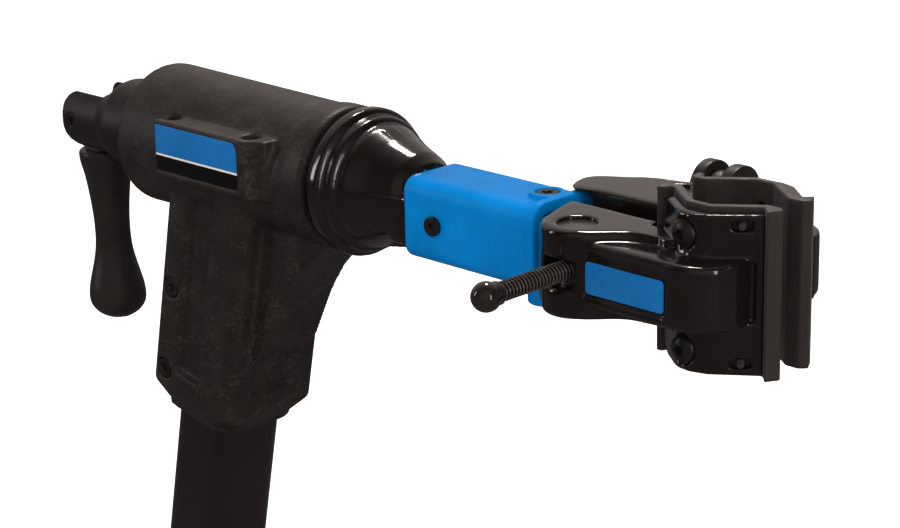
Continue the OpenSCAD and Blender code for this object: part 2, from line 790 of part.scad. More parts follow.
module leg_tube(side) {
  leg_frame(side) difference() {
    translate([0, 0, -leg_len + 12]) cylinder(r = leg_d / 2, h = leg_len - 12 - 44.1);
    translate([0, 0, -leg_len]) cylinder(r = leg_d / 2 - 2, h = leg_len);
  }
}

module leg_foot(side) {
  leg_frame(side) translate([0, 0, -leg_len]) difference() {
    union() {
      sphere(r = foot_r, $fn = 48);
      cylinder(r = foot_r, h = 34);
      translate([0, 0, 33.9]) cylinder(r1 = foot_r, r2 = leg_d / 2 + 1.5, h = 8);
    }
    translate([0, 0, 12]) cylinder(r = leg_d / 2 + 0.02, h = 60);
  }
}

module left_leg() {
  color("#141416") leg_tube(1);
}

module left_knuckle() {
  color("#1d1d1f") leg_knuckle(1);
}

module left_foot() {
  color("#20211f") leg_foot(1);
}

module right_leg() {
  color("#141416") leg_tube(-1);
}

module right_knuckle() {
  color("#1d1d1f") leg_knuckle(-1);
}

module right_foot() {
  color("#20211f") leg_foot(-1);
}

mast_foot();
lower_tube();
height_collar();
height_bolt();
height_pin();
height_lever();
upper_tube();
slide_shoe();
head_housing();
neck_screws();
housing_label();
boss_screws();
spindle_bushes();
lock_fork();
lock_pin();
lock_lever();
lock_plunger();
thrust_washer();
arm_spindle();
clamp_arm();
arm_screws();
pivot_bolt();
near_arm();
far_arm();
near_jaw_cover();
far_jaw_cover();
near_jaw_screws();
far_jaw_screws();
near_label();
far_label();
near_nut();
far_nut();
cam_saddle();
clamp_rod();
rod_ball();
cam_pin();
clamp_lever();
leg_collar();
collar_bolt();
collar_pin();
collar_lever();
leg_bolts();
left_leg();
left_knuckle();
left_foot();
right_leg();
right_knuckle();
right_foot();
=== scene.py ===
"""Bicycle repair stand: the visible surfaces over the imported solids.

Lengths are metres; a name ending in _mm holds millimetres. A finish goes by its key in
finish_named().
"""
import json
import math

import bmesh
import bpy
import numpy as np
from mathutils import Matrix, Vector


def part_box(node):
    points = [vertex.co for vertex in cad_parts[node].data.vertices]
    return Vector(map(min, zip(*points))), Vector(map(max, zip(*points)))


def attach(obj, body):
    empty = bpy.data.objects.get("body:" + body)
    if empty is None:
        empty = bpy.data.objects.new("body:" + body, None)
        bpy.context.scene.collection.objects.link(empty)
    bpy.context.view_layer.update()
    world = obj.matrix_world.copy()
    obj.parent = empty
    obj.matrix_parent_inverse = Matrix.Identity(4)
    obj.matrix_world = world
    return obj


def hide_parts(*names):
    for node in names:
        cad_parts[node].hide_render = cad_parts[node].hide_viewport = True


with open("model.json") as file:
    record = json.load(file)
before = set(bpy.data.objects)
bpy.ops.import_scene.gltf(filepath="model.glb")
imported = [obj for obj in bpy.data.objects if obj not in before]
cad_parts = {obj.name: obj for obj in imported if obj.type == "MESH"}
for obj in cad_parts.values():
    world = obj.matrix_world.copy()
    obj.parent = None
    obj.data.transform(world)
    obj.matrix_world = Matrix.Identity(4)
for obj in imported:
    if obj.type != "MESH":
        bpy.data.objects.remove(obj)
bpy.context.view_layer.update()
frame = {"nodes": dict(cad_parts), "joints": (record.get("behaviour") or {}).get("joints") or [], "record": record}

bl_info = {
    "name": "Bicycle repair stand",
    "version": (1, 0, 0),
    "blender": (4, 5, 0),
    "location": "View3D > Sidebar > Stand",
    "description": "Builds the visible surfaces, finishes and stage of a bicycle repair stand",
    "category": "Object",
}

MM = 0.001
TINY = 1e-9
JOINTS = {j["name"]: j for j in frame["joints"]}
NODE_BODY = {n: b for b, ns in frame["record"]["behaviour"]["bodies"].items() for n in ns}
HEAD = np.array(JOINTS["head_turn"]["pos_m"])
MAST_U = np.array(JOINTS["mast_height"]["axis"])
MAST_X = np.array((MAST_U[2], 0.0, -MAST_U[0]))
AXIS_X, AXIS_Y, AXIS_Z = np.eye(3)
ROD_RADIUS = 4.95 * MM
LABEL_THICK = 0.7 * MM
JAW_SCREW_RADIUS, JAW_SCREW_RISE = 6.6 * MM, 3.4 * MM


# ---------- places ----------
def joint_place(name):
    """World place of a joint's pivot."""
    return np.array(JOINTS[name]["pos_m"])


def joint_axis(name):
    """Unit direction of a joint's axis."""
    a = np.array(JOINTS[name]["axis"], float)
    return a / np.linalg.norm(a)


def corners(node):
    """Lowest and highest corner of a node at rest."""
    return tuple(np.array(v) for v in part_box(node))


def middle_and_half(node):
    """Middle of a node and half its size each way."""
    low, high = corners(node)
    return (low + high) / 2, (high - low) / 2


def field(items, key):
    """Three numbers of each vertex or normal of a mesh, as one array."""
    out = np.empty(len(items) * 3, np.float32)
    items.foreach_get(key, out)
    return out.reshape(-1, 3).astype(float)


def move_points(mesh, co):
    """Puts a mesh's points where the array says."""
    mesh.vertices.foreach_set("co", co.astype(np.float32).ravel())
    mesh.update()


def span(node, axis):
    """Lowest and highest place of a node's vertices along a direction."""
    reach = field(frame["nodes"][node].data.vertices, "co") @ np.asarray(axis, float)
    return float(reach.min()), float(reach.max())


def long_axis(node, down):
    """Direction along which a node is longest, pointing the way of down."""
    co = field(frame["nodes"][node].data.vertices, "co")
    axis = np.linalg.svd(co - co.mean(0), full_matrices=False)[2][0]
    return axis if axis @ down > 0 else -axis


# ---------- meshes ----------
def skin(rings, cap_start=True, cap_end=True):
    """Closed tube through rings of shape (n, m, 3): ring i joins ring i + 1 with m quads."""
    n, m, _ = rings.shape
    i, j = np.meshgrid(np.arange(n - 1), np.arange(m), indexing="ij")
    k = (j + 1) % m
    quads = np.stack([i * m + j, i * m + k, (i + 1) * m + k, (i + 1) * m + j], -1).reshape(-1, 4)
    faces = quads.tolist()
    if cap_start:
        faces.append(list(range(m - 1, -1, -1)))
    if cap_end:
        faces.append(list(range((n - 1) * m, n * m)))
    return rings.reshape(-1, 3), faces


def joined(*shells):
    """Several (points, faces) shells as one."""
    points, faces, start = [], [], 0
    for p, f in shells:
        points.append(p)
        faces += [[v + start for v in face] for face in f]
        start += len(p)
    return np.concatenate(points), faces


def circle(n, first=(1, 0), second=(0, 1)):
    """n places round a unit circle: cos t * first + sin t * second."""
    t = np.linspace(0, 2 * math.pi, n, endpoint=False)[:, None]
    return np.cos(t) * np.asarray(first, float) + np.sin(t) * np.asarray(second, float)


def eased(points, radius, steps=5, closed=False):
    """Line with rounded corners: each corner becomes a quadratic curve between the points one
    radius back along its two legs, or half a leg where the leg is short."""
    p = np.asarray(points, float)
    before = np.roll(p, 1, axis=0) - p
    after = np.roll(p, -1, axis=0) - p
    r = np.broadcast_to(np.asarray(radius, float), (len(p),)).copy()
    if not closed:
        r[0] = r[-1] = 0.0
    la = np.maximum(np.linalg.norm(before, axis=1), TINY)
    lb = np.maximum(np.linalg.norm(after, axis=1), TINY)
    a = p + before * (np.minimum(r, 0.48 * la) / la)[:, None]
    b = p + after * (np.minimum(r, 0.48 * lb) / lb)[:, None]
    t = np.linspace(0, 1, steps)[None, :, None]
    curve = (1 - t) ** 2 * a[:, None] + 2 * t * (1 - t) * p[:, None] + t**2 * b[:, None]
    line = curve.reshape(-1, p.shape[1])
    keep = np.ones(len(line), bool)
    keep[1:] = np.linalg.norm(np.diff(line, axis=0), axis=1) > TINY
    return line[keep]


def sampled(stations, values, at):
    """Smooth curve through values at stations: cubic Hermite spans with averaged slopes."""
    s, v, q = np.asarray(stations, float), np.asarray(values, float), np.asarray(at, float)
    slope = np.gradient(v, s)
    i = np.clip(np.searchsorted(s, q) - 1, 0, len(s) - 2)
    h = s[i + 1] - s[i]
    t = (q - s[i]) / h
    return (
        (1 + 2 * t) * (1 - t) ** 2 * v[i]
        + t * (1 - t) ** 2 * h * slope[i]
        + t**2 * (3 - 2 * t) * v[i + 1]
        + t**2 * (t - 1) * h * slope[i + 1]
    )


def turned(profile, origin, axis, side, n=64):
    """Surface of revolution: profile point (a, r) becomes the ring
    origin + a * axis + r * (cos t * side + sin t * third)."""
    axis, side = np.asarray(axis, float), np.asarray(side, float)
    ring = circle(n, side, np.cross(axis, side))
    a, r = np.asarray(profile, float).T
    rings = np.asarray(origin) + a[:, None, None] * axis + r[:, None, None] * ring
    return skin(rings, r[0] > TINY, r[-1] > TINY)


def rounded_square(width, radius, steps=12):
    """Closed outline of a square with round corners, in its own plane, steps points a corner."""
    h = width / 2 - radius
    t = np.linspace(0, math.pi / 2, steps)
    parts = []
    for k, centre in enumerate([(h, h), (-h, h), (-h, -h), (h, -h)]):
        turn = t + k * math.pi / 2
        parts.append(np.stack([np.cos(turn), np.sin(turn)], -1) * radius + centre)
    return np.concatenate(parts)


def inset(outline, by):
    """Outline moved inwards along its own normals."""
    ahead = np.roll(outline, -1, axis=0) - outline
    behind = outline - np.roll(outline, 1, axis=0)
    along = ahead / np.linalg.norm(ahead, axis=1)[:, None]
    along += behind / np.linalg.norm(behind, axis=1)[:, None]
    along /= np.linalg.norm(along, axis=1)[:, None]
    return outline + by * np.stack([-along[:, 1], along[:, 0]], -1)


def lifted(outline, place, height):
    """Flat outline set in space. place is (origin, first, second, up)."""
    origin, first, second, up = (np.asarray(v, float) for v in place)
    return origin + outline[:, :1] * first + outline[:, 1:] * second + height * up


def slab(outline, low, high, edge, place, steps=4):
    """Flat piece over an outline: rings of the outline from low to high, drawn in by a quarter
    round of radius edge at both faces."""
    t = np.linspace(0, math.pi / 2, steps)
    heights = np.concatenate([low + edge * (1 - np.cos(t)), high - edge * (1 - np.sin(t))])
    draws = np.concatenate([edge * (1 - np.sin(t)), edge * (1 - np.cos(t))])
    return skin(np.array([lifted(inset(outline, d), place, h) for h, d in zip(heights, draws)]))


def walled_tube(outline, wall, low, high, place, edge):
    """Tube of any outline with a wall: the wall's own rounded section is carried round it."""
    section = eased([(0, low), (0, high), (wall, high), (wall, low)], edge, 4, closed=True)
    rings = [lifted(inset(outline, draw), place, height) for draw, height in section]
    return skin(np.array([*rings, rings[0]]), False, False)


def cleaned(mesh, turn_out=False):
    """The mesh with its doubled points merged and, for a new shell, its faces turned out."""
    bm = bmesh.new()
    bm.from_mesh(mesh)
    bmesh.ops.remove_doubles(bm, verts=bm.verts[:], dist=2e-6)
    bmesh.ops.dissolve_degenerate(bm, dist=1e-6, edges=bm.edges[:])
    if turn_out:
        bmesh.ops.recalc_face_normals(bm, faces=bm.faces[:])
    bm.to_mesh(mesh)
    bm.free()
    return mesh


def shell_mesh(name, shell):
    """Mesh of a (points, faces) shell."""
    points, faces = shell
    mesh = bpy.data.meshes.new(name)
    mesh.from_pydata(np.asarray(points, float).tolist(), [], faces)
    return cleaned(mesh, turn_out=True)


def welded(node):
    """Copy of a CAD node's mesh with its loose triangles merged."""
    mesh = frame["nodes"][node].data.copy()
    mesh.name = node + "_skin"
    return cleaned(mesh)


def with_modifiers(mesh, *steps):
    """The mesh after a list of (type, settings) modifiers, applied."""
    obj = bpy.data.objects.new(mesh.name + "_work", mesh)
    bpy.context.scene.collection.objects.link(obj)
    for kind, settings in steps:
        mod = obj.modifiers.new(kind.lower(), kind)
        for key, value in settings.items():
            setattr(mod, key, value)
    bpy.context.view_layer.update()
    depsgraph = bpy.context.evaluated_depsgraph_get()
    made = bpy.data.meshes.new_from_object(obj.evaluated_get(depsgraph))
    made.name = mesh.name
    bpy.data.objects.remove(obj)
    return made


def regridded(mesh, voxel_mm, rounds):
    """The mesh's skin on a new grid of voxel_mm, relaxed so that every edge and root gets a
    small fillet."""
    return with_modifiers(
        mesh,
        ("REMESH", {"mode": "VOXEL", "voxel_size": voxel_mm * MM, "adaptivity": 0.0}),
        ("SMOOTH", {"factor": 0.5, "iterations": rounds}),
    )


def ease_between(mesh, rounds, kept, margin=3 * MM):
    """Wide fillets away from the kept boxes: in each round a point goes part of the way to the
    mean of its neighbours, from none of it beside a box to half of it from margin outwards."""
    co = field(mesh.vertices, "co")
    ends = np.empty(len(mesh.edges) * 2, np.int32)
    mesh.edges.foreach_get("vertices", ends)
    one, other = ends.reshape(-1, 2).T
    here, there = np.concatenate([one, other]), np.concatenate([other, one])
    count = np.bincount(here, minlength=len(co))[:, None]
    share = np.full(len(co), 0.5)
    for low, high in kept:
        apart = np.linalg.norm(np.maximum(np.maximum(low - co, co - high), 0), axis=1)
        share = np.minimum(share, 0.5 * np.clip(apart / margin, 0, 1))
    for _ in range(rounds):
        mean = np.stack([np.bincount(here, co[there, k], len(co)) for k in range(3)], -1) / count
        co += share[:, None] * (mean - co)
    move_points(mesh, co)


def set_piece(node, mesh, finish, crisp_from):
    """Makes the mesh the piece that stands for a node, at the origin and on the node's body.
    It is shaded smooth, with edges sharper than crisp_from degrees kept."""
    mesh.polygons.foreach_set("use_smooth", np.ones(len(mesh.polygons), bool))
    mesh.set_sharp_from_angle(angle=math.radians(crisp_from))
    mesh.update()
    obj = bpy.data.objects.new(node + "_skin", mesh)
    bpy.context.scene.collection.objects.link(obj)
    mesh.materials.clear()
    mesh.materials.append(finish_named(finish))
    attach(obj, NODE_BODY[node])
    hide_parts(node)


def new_piece(node, shell, finish, crisp_from=35.0):
    """A node's piece from a (points, faces) shell."""
    set_piece(node, shell_mesh(node + "_skin", shell), finish, crisp_from)


def cast_piece(node, voxel_mm, rounds, finish, broad=0, kept=()):
    """A node as a casting or moulding: small fillets everywhere, and wide ones made in broad
    more rounds away from the kept boxes."""
    mesh = regridded(welded(node), voxel_mm, rounds)
    ease_between(mesh, broad, kept)
    set_piece(node, mesh, finish, 60.0)


def crisp_piece(node, edge_mm, finish):
    """A node with its own edges broken by a bevel of edge_mm, for machined or sharp mouldings."""
    mesh = welded(node)
    bm = bmesh.new()
    bm.from_mesh(mesh)
    flat = math.radians(0.4)
    bmesh.ops.dissolve_limit(bm, angle_limit=flat, verts=bm.verts[:], edges=bm.edges[:])
    bm.to_mesh(mesh)
    bm.free()
    bevel = {
        "width": edge_mm * MM, "segments": 2, "limit_method": "ANGLE",
        "angle_limit": math.radians(32.0), "use_clamp_overlap": True,
    }
    mesh = with_modifiers(mesh, ("BEVEL", bevel), ("TRIANGULATE", {}))
    set_piece(node, mesh, finish, 28.0)


# ---------- nodes of the finishes ----------
def link_or_set(tree, value, socket):
    """Joins a socket to another socket, or sets it to a plain value."""
    if isinstance(value, bpy.types.NodeSocket):
        tree.links.new(value, socket)
    else:
        socket.default_value = value


def place_node(tree, kind, settings=None, **inputs):
    """Adds a shader node and feeds its inputs, named in words or as in_ and their number."""
    made = tree.nodes.new(kind)
    for key, value in (settings or {}).items():
        setattr(made, key, value)
    for key, value in inputs.items():
        index = int(key[3:]) if key.startswith("in_") else key.replace("_", " ")
        link_or_set(tree, value, made.inputs[index])
    return made


def maths(tree, operation, a, b):
    """One Math node's result."""
    return place_node(tree, "ShaderNodeMath", {"operation": operation}, in_0=a, in_1=b).outputs[0]


def product(tree, a, b):
    """Two numbers multiplied."""
    return maths(tree, "MULTIPLY", a, b)


def vector_maths(tree, operation, **inputs):
    """One Vector Math node's result."""
    made = place_node(tree, "ShaderNodeVectorMath", {"operation": operation}, **inputs)
    return made.outputs["Value" if operation in ("DOT_PRODUCT", "LENGTH") else "Vector"]


def faded(tree, value, low, high):
    """A value carried from low..high to 0..1 and held there, smooth at both ends."""
    made = place_node(
        tree, "ShaderNodeMapRange", {"interpolation_type": "SMOOTHSTEP"},
        Value=value, From_Min=low, From_Max=high,
    )
    return made.outputs["Result"]


def between(tree, mask, low, high):
    """A number from low to high that follows a mask."""
    made = place_node(tree, "ShaderNodeMapRange", Value=mask, To_Min=low, To_Max=high)
    return made.outputs["Result"]


def blended(tree, factor, first, second):
    """Two colours mixed by a mask."""
    made = place_node(
        tree, "ShaderNodeMix", {"data_type": "RGBA"}, in_0=factor, in_6=first, in_7=second
    )
    return made.outputs[2]


def swapped(tree, factor, first, second):
    """Two numbers mixed by a mask."""
    made = place_node(
        tree, "ShaderNodeMix", {"data_type": "FLOAT"}, in_0=factor, in_2=first, in_3=second
    )
    return made.outputs[0]


def object_place(tree):
    """Object coordinates."""
    return tree.nodes.new("ShaderNodeTexCoord").outputs["Object"]


def cloud(tree, place, scale, detail, roughness=0.5):
    """Noise over a place."""
    made = place_node(
        tree, "ShaderNodeTexNoise", Vector=place, Scale=scale, Detail=detail, Roughness=roughness
    )
    return made.outputs["Fac"]


def raised(tree, distance, height):
    """Normal bent by a height."""
    made = place_node(tree, "ShaderNodeBump", Strength=1.0, Distance=distance, Height=height)
    return made.outputs["Normal"]


def new_group(name, build, ins, outs):
    """Shader node group. ins gives each input's default and outs how many numbers each output
    carries; build(tree, inputs) gives the outputs in order."""
    tree = bpy.data.node_groups.new(name, "ShaderNodeTree")
    for label, default in ins.items():
        kind = SOCKETS[np.size(default)]
        tree.interface.new_socket(label, in_out="INPUT", socket_type=kind).default_value = default
    for label, numbers in outs.items():
        tree.interface.new_socket(label, in_out="OUTPUT", socket_type=SOCKETS[numbers])
    into, out = tree.nodes.new("NodeGroupInput"), tree.nodes.new("NodeGroupOutput")
    for label, value in zip(outs, build(tree, into.outputs)):
        tree.links.new(value, out.inputs[label])
    return tree


def surface_grain(tree, given):
    """Fine surface texture: two sizes of noise added and turned into a bump."""
    place = object_place(tree)
    fine = cloud(tree, place, given["Scale"], 3.0, 0.6)
    wide = cloud(tree, place, product(tree, given["Scale"], 0.12), 2.0)
    both = maths(tree, "ADD", fine, product(tree, wide, given["Broad"]))
    return raised(tree, given["Height"], both), both


def rubbed_edges(tree, given):
    """Rubbed edges: where the eased normal leaves the true one, broken up by noise."""
    soft = place_node(tree, "ShaderNodeBevel", {"samples": 4}, Radius=given["Width"]).outputs[0]
    true = tree.nodes.new("ShaderNodeNewGeometry").outputs["Normal"]
    same = vector_maths(tree, "DOT_PRODUCT", in_0=soft, in_1=true)
    edge = faded(tree, maths(tree, "SUBTRACT", 1.0, same), 0.01, 0.16)
    worn = faded(tree, cloud(tree, object_place(tree), given["Patches"], 5.0, 0.65), 0.46, 0.66)
    return [product(tree, product(tree, edge, worn), given["Amount"])]


def uneven_colour(tree, given):
    """Uneven colour: two colours mixed by soft cloudy noise."""
    low = maths(tree, "SUBTRACT", 0.52, given["Spread"])
    high = maths(tree, "ADD", 0.52, given["Spread"])
    mask = faded(tree, cloud(tree, object_place(tree), given["Scale"], 6.0, 0.62), low, high)
    return blended(tree, mask, given["First"], given["Second"]), mask


def settled_dust(tree, given):
    """Settled dust: faces that look up, thinned by noise."""
    normal = tree.nodes.new("ShaderNodeNewGeometry").outputs["Normal"]
    apart = place_node(tree, "ShaderNodeSeparateXYZ", Vector=normal)
    up = faded(tree, apart.outputs["Z"], 0.35, 1.0)
    thin = faded(tree, cloud(tree, object_place(tree), given["Scale"], 8.0, 0.7), 0.45, 0.75)
    return [product(tree, product(tree, up, thin), given["Amount"])]


def tool_marks(tree, given):
    """Tool marks: noise drawn out so that it makes fine lines round or along a part."""
    drawn = vector_maths(tree, "MULTIPLY", in_0=object_place(tree), in_1=given["Stretch"])
    lines = cloud(tree, drawn, 1.0, 3.0)
    return raised(tree, given["Height"], lines), lines


SOCKETS = {1: "NodeSocketFloat", 3: "NodeSocketVector", 4: "NodeSocketColor"}
BUMP_OUTS = dict(Normal=3, Value=1)
EFFECTS = {
    "grain": (
        "Surface grain", surface_grain, dict(Scale=900.0, Height=0.00005, Broad=0.3), BUMP_OUTS
    ),
    "wear": (
        "Rubbed edges", rubbed_edges, dict(Width=0.0012, Amount=0.5, Patches=60.0), dict(Mask=1)
    ),
    "mottle": (
        "Uneven colour", uneven_colour,
        dict(First=(0.02, 0.02, 0.02, 1), Second=(0.04, 0.04, 0.04, 1), Scale=20.0, Spread=0.2),
        dict(Color=4, Mask=1),
    ),
    "dust": ("Settled dust", settled_dust, dict(Amount=0.2, Scale=90.0), dict(Mask=1)),
    "marks": (
        "Tool marks", tool_marks, dict(Stretch=(40.0, 40.0, 2400.0), Height=0.00002), BUMP_OUTS
    ),
}
GROUPS, FINISHES = {}, {}


def effect(tree, key, **inputs):
    """A shared effect placed in a material with its own values: its outputs."""
    if key not in GROUPS:
        GROUPS[key] = new_group(*EFFECTS[key])
    return place_node(tree, "ShaderNodeGroup", {"node_tree": GROUPS[key]}, **inputs).outputs


def shade(colour, factor):
    """An RGBA colour made lighter or darker."""
    return tuple(min(1.0, c * factor) for c in colour[:3]) + (1.0,)


def rgba(colour):
    """Panel colour as four numbers."""
    return tuple(colour[:3]) + (1.0,)


def toned(tree, colour, low, high, scale, spread=0.2):
    """One colour in uneven tone, from low to high times as bright."""
    return effect(
        tree, "mottle", First=shade(colour, low), Second=shade(colour, high), Scale=scale,
        Spread=spread,
    )


def rubbed(tree, base, under, width, amount, patches):
    """A colour rubbed through to another along the edges."""
    mask = effect(tree, "wear", Width=width, Amount=amount, Patches=patches)["Mask"]
    return blended(tree, mask, base, under)


def dusted(tree, base, colour, amount, scale):
    """A colour under settled dust."""
    mask = effect(tree, "dust", Amount=amount, Scale=scale)["Mask"]
    return blended(tree, mask, base, colour)


def empty_tree(owner, output):
    """A material's or world's nodes, cleared but for an output: (tree, output node)."""
    owner.use_nodes = True
    owner.node_tree.nodes.clear()
    return owner.node_tree, owner.node_tree.nodes.new(output)


def new_finish(name, look, *values):
    """Node material whose shader is fed with the values and sockets that look(tree, ...) gives."""
    finish = bpy.data.materials.new(name)
    tree, out = empty_tree(finish, "ShaderNodeOutputMaterial")
    shader = tree.nodes.new("ShaderNodeBsdfPrincipled")
    tree.links.new(shader.outputs[0], out.inputs["Surface"])
    for key, value in look(tree, *values).items():
        link_or_set(tree, value, shader.inputs[key.replace("_", " ")])
    return finish


# ---------- finishes ----------
def enamel(tree, colour, rough, peel, edges=0.35, coat=0.25, primer=None, dusty=0.03, gleam=0.5):
    """Sprayed and baked paint: orange peel in the clear layer, thin at the edges."""
    tone = toned(tree, colour, 0.86, 1.16, 26.0)
    base = rubbed(tree, tone["Color"], primer or shade(colour, 2.6), 0.0009, edges, 95.0)
    return dict(
        Base_Color=dusted(tree, base, (0.19, 0.175, 0.155, 1), dusty, 210.0),
        Normal=effect(tree, "grain", Scale=620.0, Height=peel, Broad=2.4)["Normal"],
        Roughness=between(tree, tone["Mask"], rough * 0.8, rough * 1.35),
        Coat_Weight=coat, Coat_Roughness=0.05, Specular_IOR_Level=gleam,
    )


def moulding(tree, colour, rough, grain, scale, edges=0.5, flecks=0.2):
    """Moulded nylon: spark-eroded grain, pale flecks and rubbed edges, and a cloudy skin."""
    tone = toned(tree, colour, 0.8, 1.35, 42.0, 0.16)
    surface = effect(tree, "grain", Scale=scale, Height=grain, Broad=0.5)
    fleck = product(tree, faded(tree, surface["Value"], 0.76, 1.0), flecks)
    base = blended(tree, fleck, tone["Color"], (0.052, 0.046, 0.042, 1))
    base = rubbed(tree, base, shade(colour, 3.6), 0.0011, edges, 120.0)
    return dict(
        Base_Color=dusted(tree, base, (0.085, 0.074, 0.066, 1), 0.3, 60.0),
        Normal=surface["Normal"], Specular_IOR_Level=0.4,
        Roughness=between(tree, surface["Value"], rough * 0.84, rough * 1.16),
    )


def rubber(tree, colour, rough=0.55, scale=2100.0):
    """Cast rubber: fine matte skin with paler scuffs along the edges and a dusty bloom."""
    tone = toned(tree, colour, 0.82, 1.22, 64.0, 0.18)
    base = rubbed(tree, tone["Color"], shade(colour, 2.7), 0.0013, 0.5, 170.0)
    return dict(
        Base_Color=dusted(tree, base, (0.15, 0.135, 0.12, 1), 0.55, 150.0),
        Normal=effect(tree, "grain", Scale=scale, Height=0.00005, Broad=0.8)["Normal"],
        Roughness=between(tree, tone["Mask"], rough * 0.9, rough * 1.12),
        Sheen_Weight=0.12, Sheen_Roughness=0.4,
    )


def steel(tree, colour, rough, stretch, marks=0.00002, metallic=1.0):
    """Machined steel: drawn-out tool marks, with darker stains where hands and oil reach."""
    line = effect(tree, "marks", Stretch=stretch, Height=marks)
    tone = toned(tree, colour, 0.72, 1.12, 130.0)
    return dict(
        Base_Color=rubbed(tree, tone["Color"], shade(colour, 1.9), 0.0006, 0.6, 220.0),
        Normal=line["Normal"], Metallic=metallic,
        Roughness=between(tree, line["Value"], rough * 0.75, rough * 1.3),
    )


def thread_with_painted_groove_shade(tree, crest, groove):
    """Blacked steel thread: crests in the steel's uneven tone, and grooves painted near black as shade
    between them, told apart by the distance from the rod's axis."""
    x, _, z = joint_place("rod_spin")
    off = vector_maths(tree, "MULTIPLY_ADD", in_0=object_place(tree), in_1=(1, 0, 1), in_2=(-x, 0, -z))
    depth = bpy.context.scene.stand_sizes.thread_depth
    reach = vector_maths(tree, "LENGTH", in_0=off)
    top = faded(tree, reach, ROD_RADIUS - 0.8 * depth, ROD_RADIUS - 0.1 * depth)
    tone = toned(tree, crest, 0.75, 1.15, 130.0)
    return dict(
        # the groove colour is painted shade in the hollows of the thread
        Base_Color=blended(tree, top, groove, tone["Color"]), Metallic=0.7,
        Roughness=between(tree, tone["Mask"], 0.24, 0.36),
    )


def film(tree, base, tone, low, high):
    """Clear layer over print."""
    return dict(
        Base_Color=base, Roughness=between(tree, tone["Mask"], low, high),
        Normal=effect(tree, "grain", Scale=300.0, Height=0.00002, Broad=1.5)["Normal"],
        Specular_IOR_Level=0.22,
    )


def printed_film(tree, colour):
    """Printed label film, very slightly uneven and scuffed along its edge."""
    tone = toned(tree, colour, 0.93, 1.07, 55.0, 0.25)
    base = rubbed(tree, tone["Color"], shade(colour, 2.2), 0.0006, 0.5, 260.0)
    return film(tree, base, tone, 0.238, 0.35)


def banded_film(tree, upper, lower, line_share=0.645, line_width=1.1 * MM):
    """Film of the housing label: two plain bands with a pale line between them, line_share of
    the way down."""
    low, high = corners("housing_label")
    line_z = high[2] - line_share * (high - low)[2]
    height = place_node(tree, "ShaderNodeSeparateXYZ", Vector=object_place(tree)).outputs["Z"]
    above = maths(tree, "GREATER_THAN", height, line_z + line_width / 2)
    below = maths(tree, "LESS_THAN", height, line_z - line_width / 2)
    tone = toned(tree, upper, 0.93, 1.07, 55.0, 0.25)
    base = blended(tree, above, (0.78, 0.78, 0.76, 1), tone["Color"])
    return film(tree, blended(tree, below, base, lower), tone, 0.24, 0.36)


def finish_named(key):
    """The finish for one kind of part, made once from the colours in the panel."""
    tones = bpy.context.scene.stand_colours
    black, blue, nylon = rgba(tones.enamel_black), rgba(tones.enamel_blue), rgba(tones.nylon)
    handle, soft, label = rgba(tones.handle), rgba(tones.rubber), rgba(tones.label_blue)
    # material name, look, colour and the look's other values in order
    kinds = {
        "gloss black": ("Gloss black enamel", enamel, black, 0.15, 0.00002),
        "tube black": ("Black powder coat", enamel, black, 0.2, 0.00004, 0.3),
        "cap": ("Cap black", enamel, handle, 0.1, 0.00001, 0.1),
        "blue": ("Blue enamel", enamel, blue, 0.3, 0.00003, 0.05, 0.0, shade(blue, 1.4), 0.0, 0.05),
        "housing": ("Grained nylon", moulding, nylon, 0.45, 0.0002, 620.0, 0.7, 0.5),
        "fork": ("Fine nylon", moulding, shade(nylon, 0.45), 0.4, 0.00004, 1900.0, 0.4, 0.1),
        "handle": ("Handle nylon", moulding, handle, 0.36, 0.00003, 2300.0, 0.3),
        "bush": ("Bush plastic", moulding, (0.55, 0.51, 0.42, 1), 0.42, 0.00002, 900.0, 0.1),
        "jaw rubber": ("Jaw rubber", rubber, soft),
        "foot rubber": ("Foot rubber", rubber, shade(soft, 0.9), 0.74, 1500.0),
        "black screw": (
            "Blacked screw", steel, (0.035, 0.033, 0.031, 1), 0.34, (900, 900, 900), 0.00001, 0.75
        ),
        "plated": ("Zinc plate", steel, (0.56, 0.56, 0.55, 1), 0.27, (500, 500, 1500)),
        "dark steel": ("Oiled steel", steel, (0.12, 0.118, 0.115, 1), 0.3, (600, 600, 1800)),
        "brass": ("Turned brass", steel, (0.63, 0.42, 0.16, 1), 0.26, (1800, 300, 300)),
        # rod: steel colour on the crests, near-black painted shade in the grooves
        "rod": ("Blacked thread", thread_with_painted_groove_shade, (0.2, 0.175, 0.165, 1), (0.006, 0.005, 0.005, 1)),
        "blue label": ("Blue label film", printed_film, label),
        "banded label": ("Banded label film", banded_film, label, rgba(tones.label_black)),
    }
    if key not in FINISHES:
        FINISHES[key] = new_finish(*kinds[key])
    return FINISHES[key]


# ---------- sizes and colours a user may change ----------
def colour_property(name, description, default):
    """A colour in the panel."""
    return bpy.props.FloatVectorProperty(
        name=name, description=description, subtype="COLOR", size=3, min=0.0, max=1.0,
        default=default,
    )


def length_property(name, description, default, low, high):
    """A length in the panel."""
    return bpy.props.FloatProperty(
        name=name, description=description, default=default, min=low, max=high,
        subtype="DISTANCE", unit="LENGTH", precision=5,
    )


def angle_property(name, description, degrees):
    """An angle in the panel."""
    return bpy.props.FloatProperty(
        name=name, description=description, default=math.radians(degrees), subtype="ANGLE"
    )


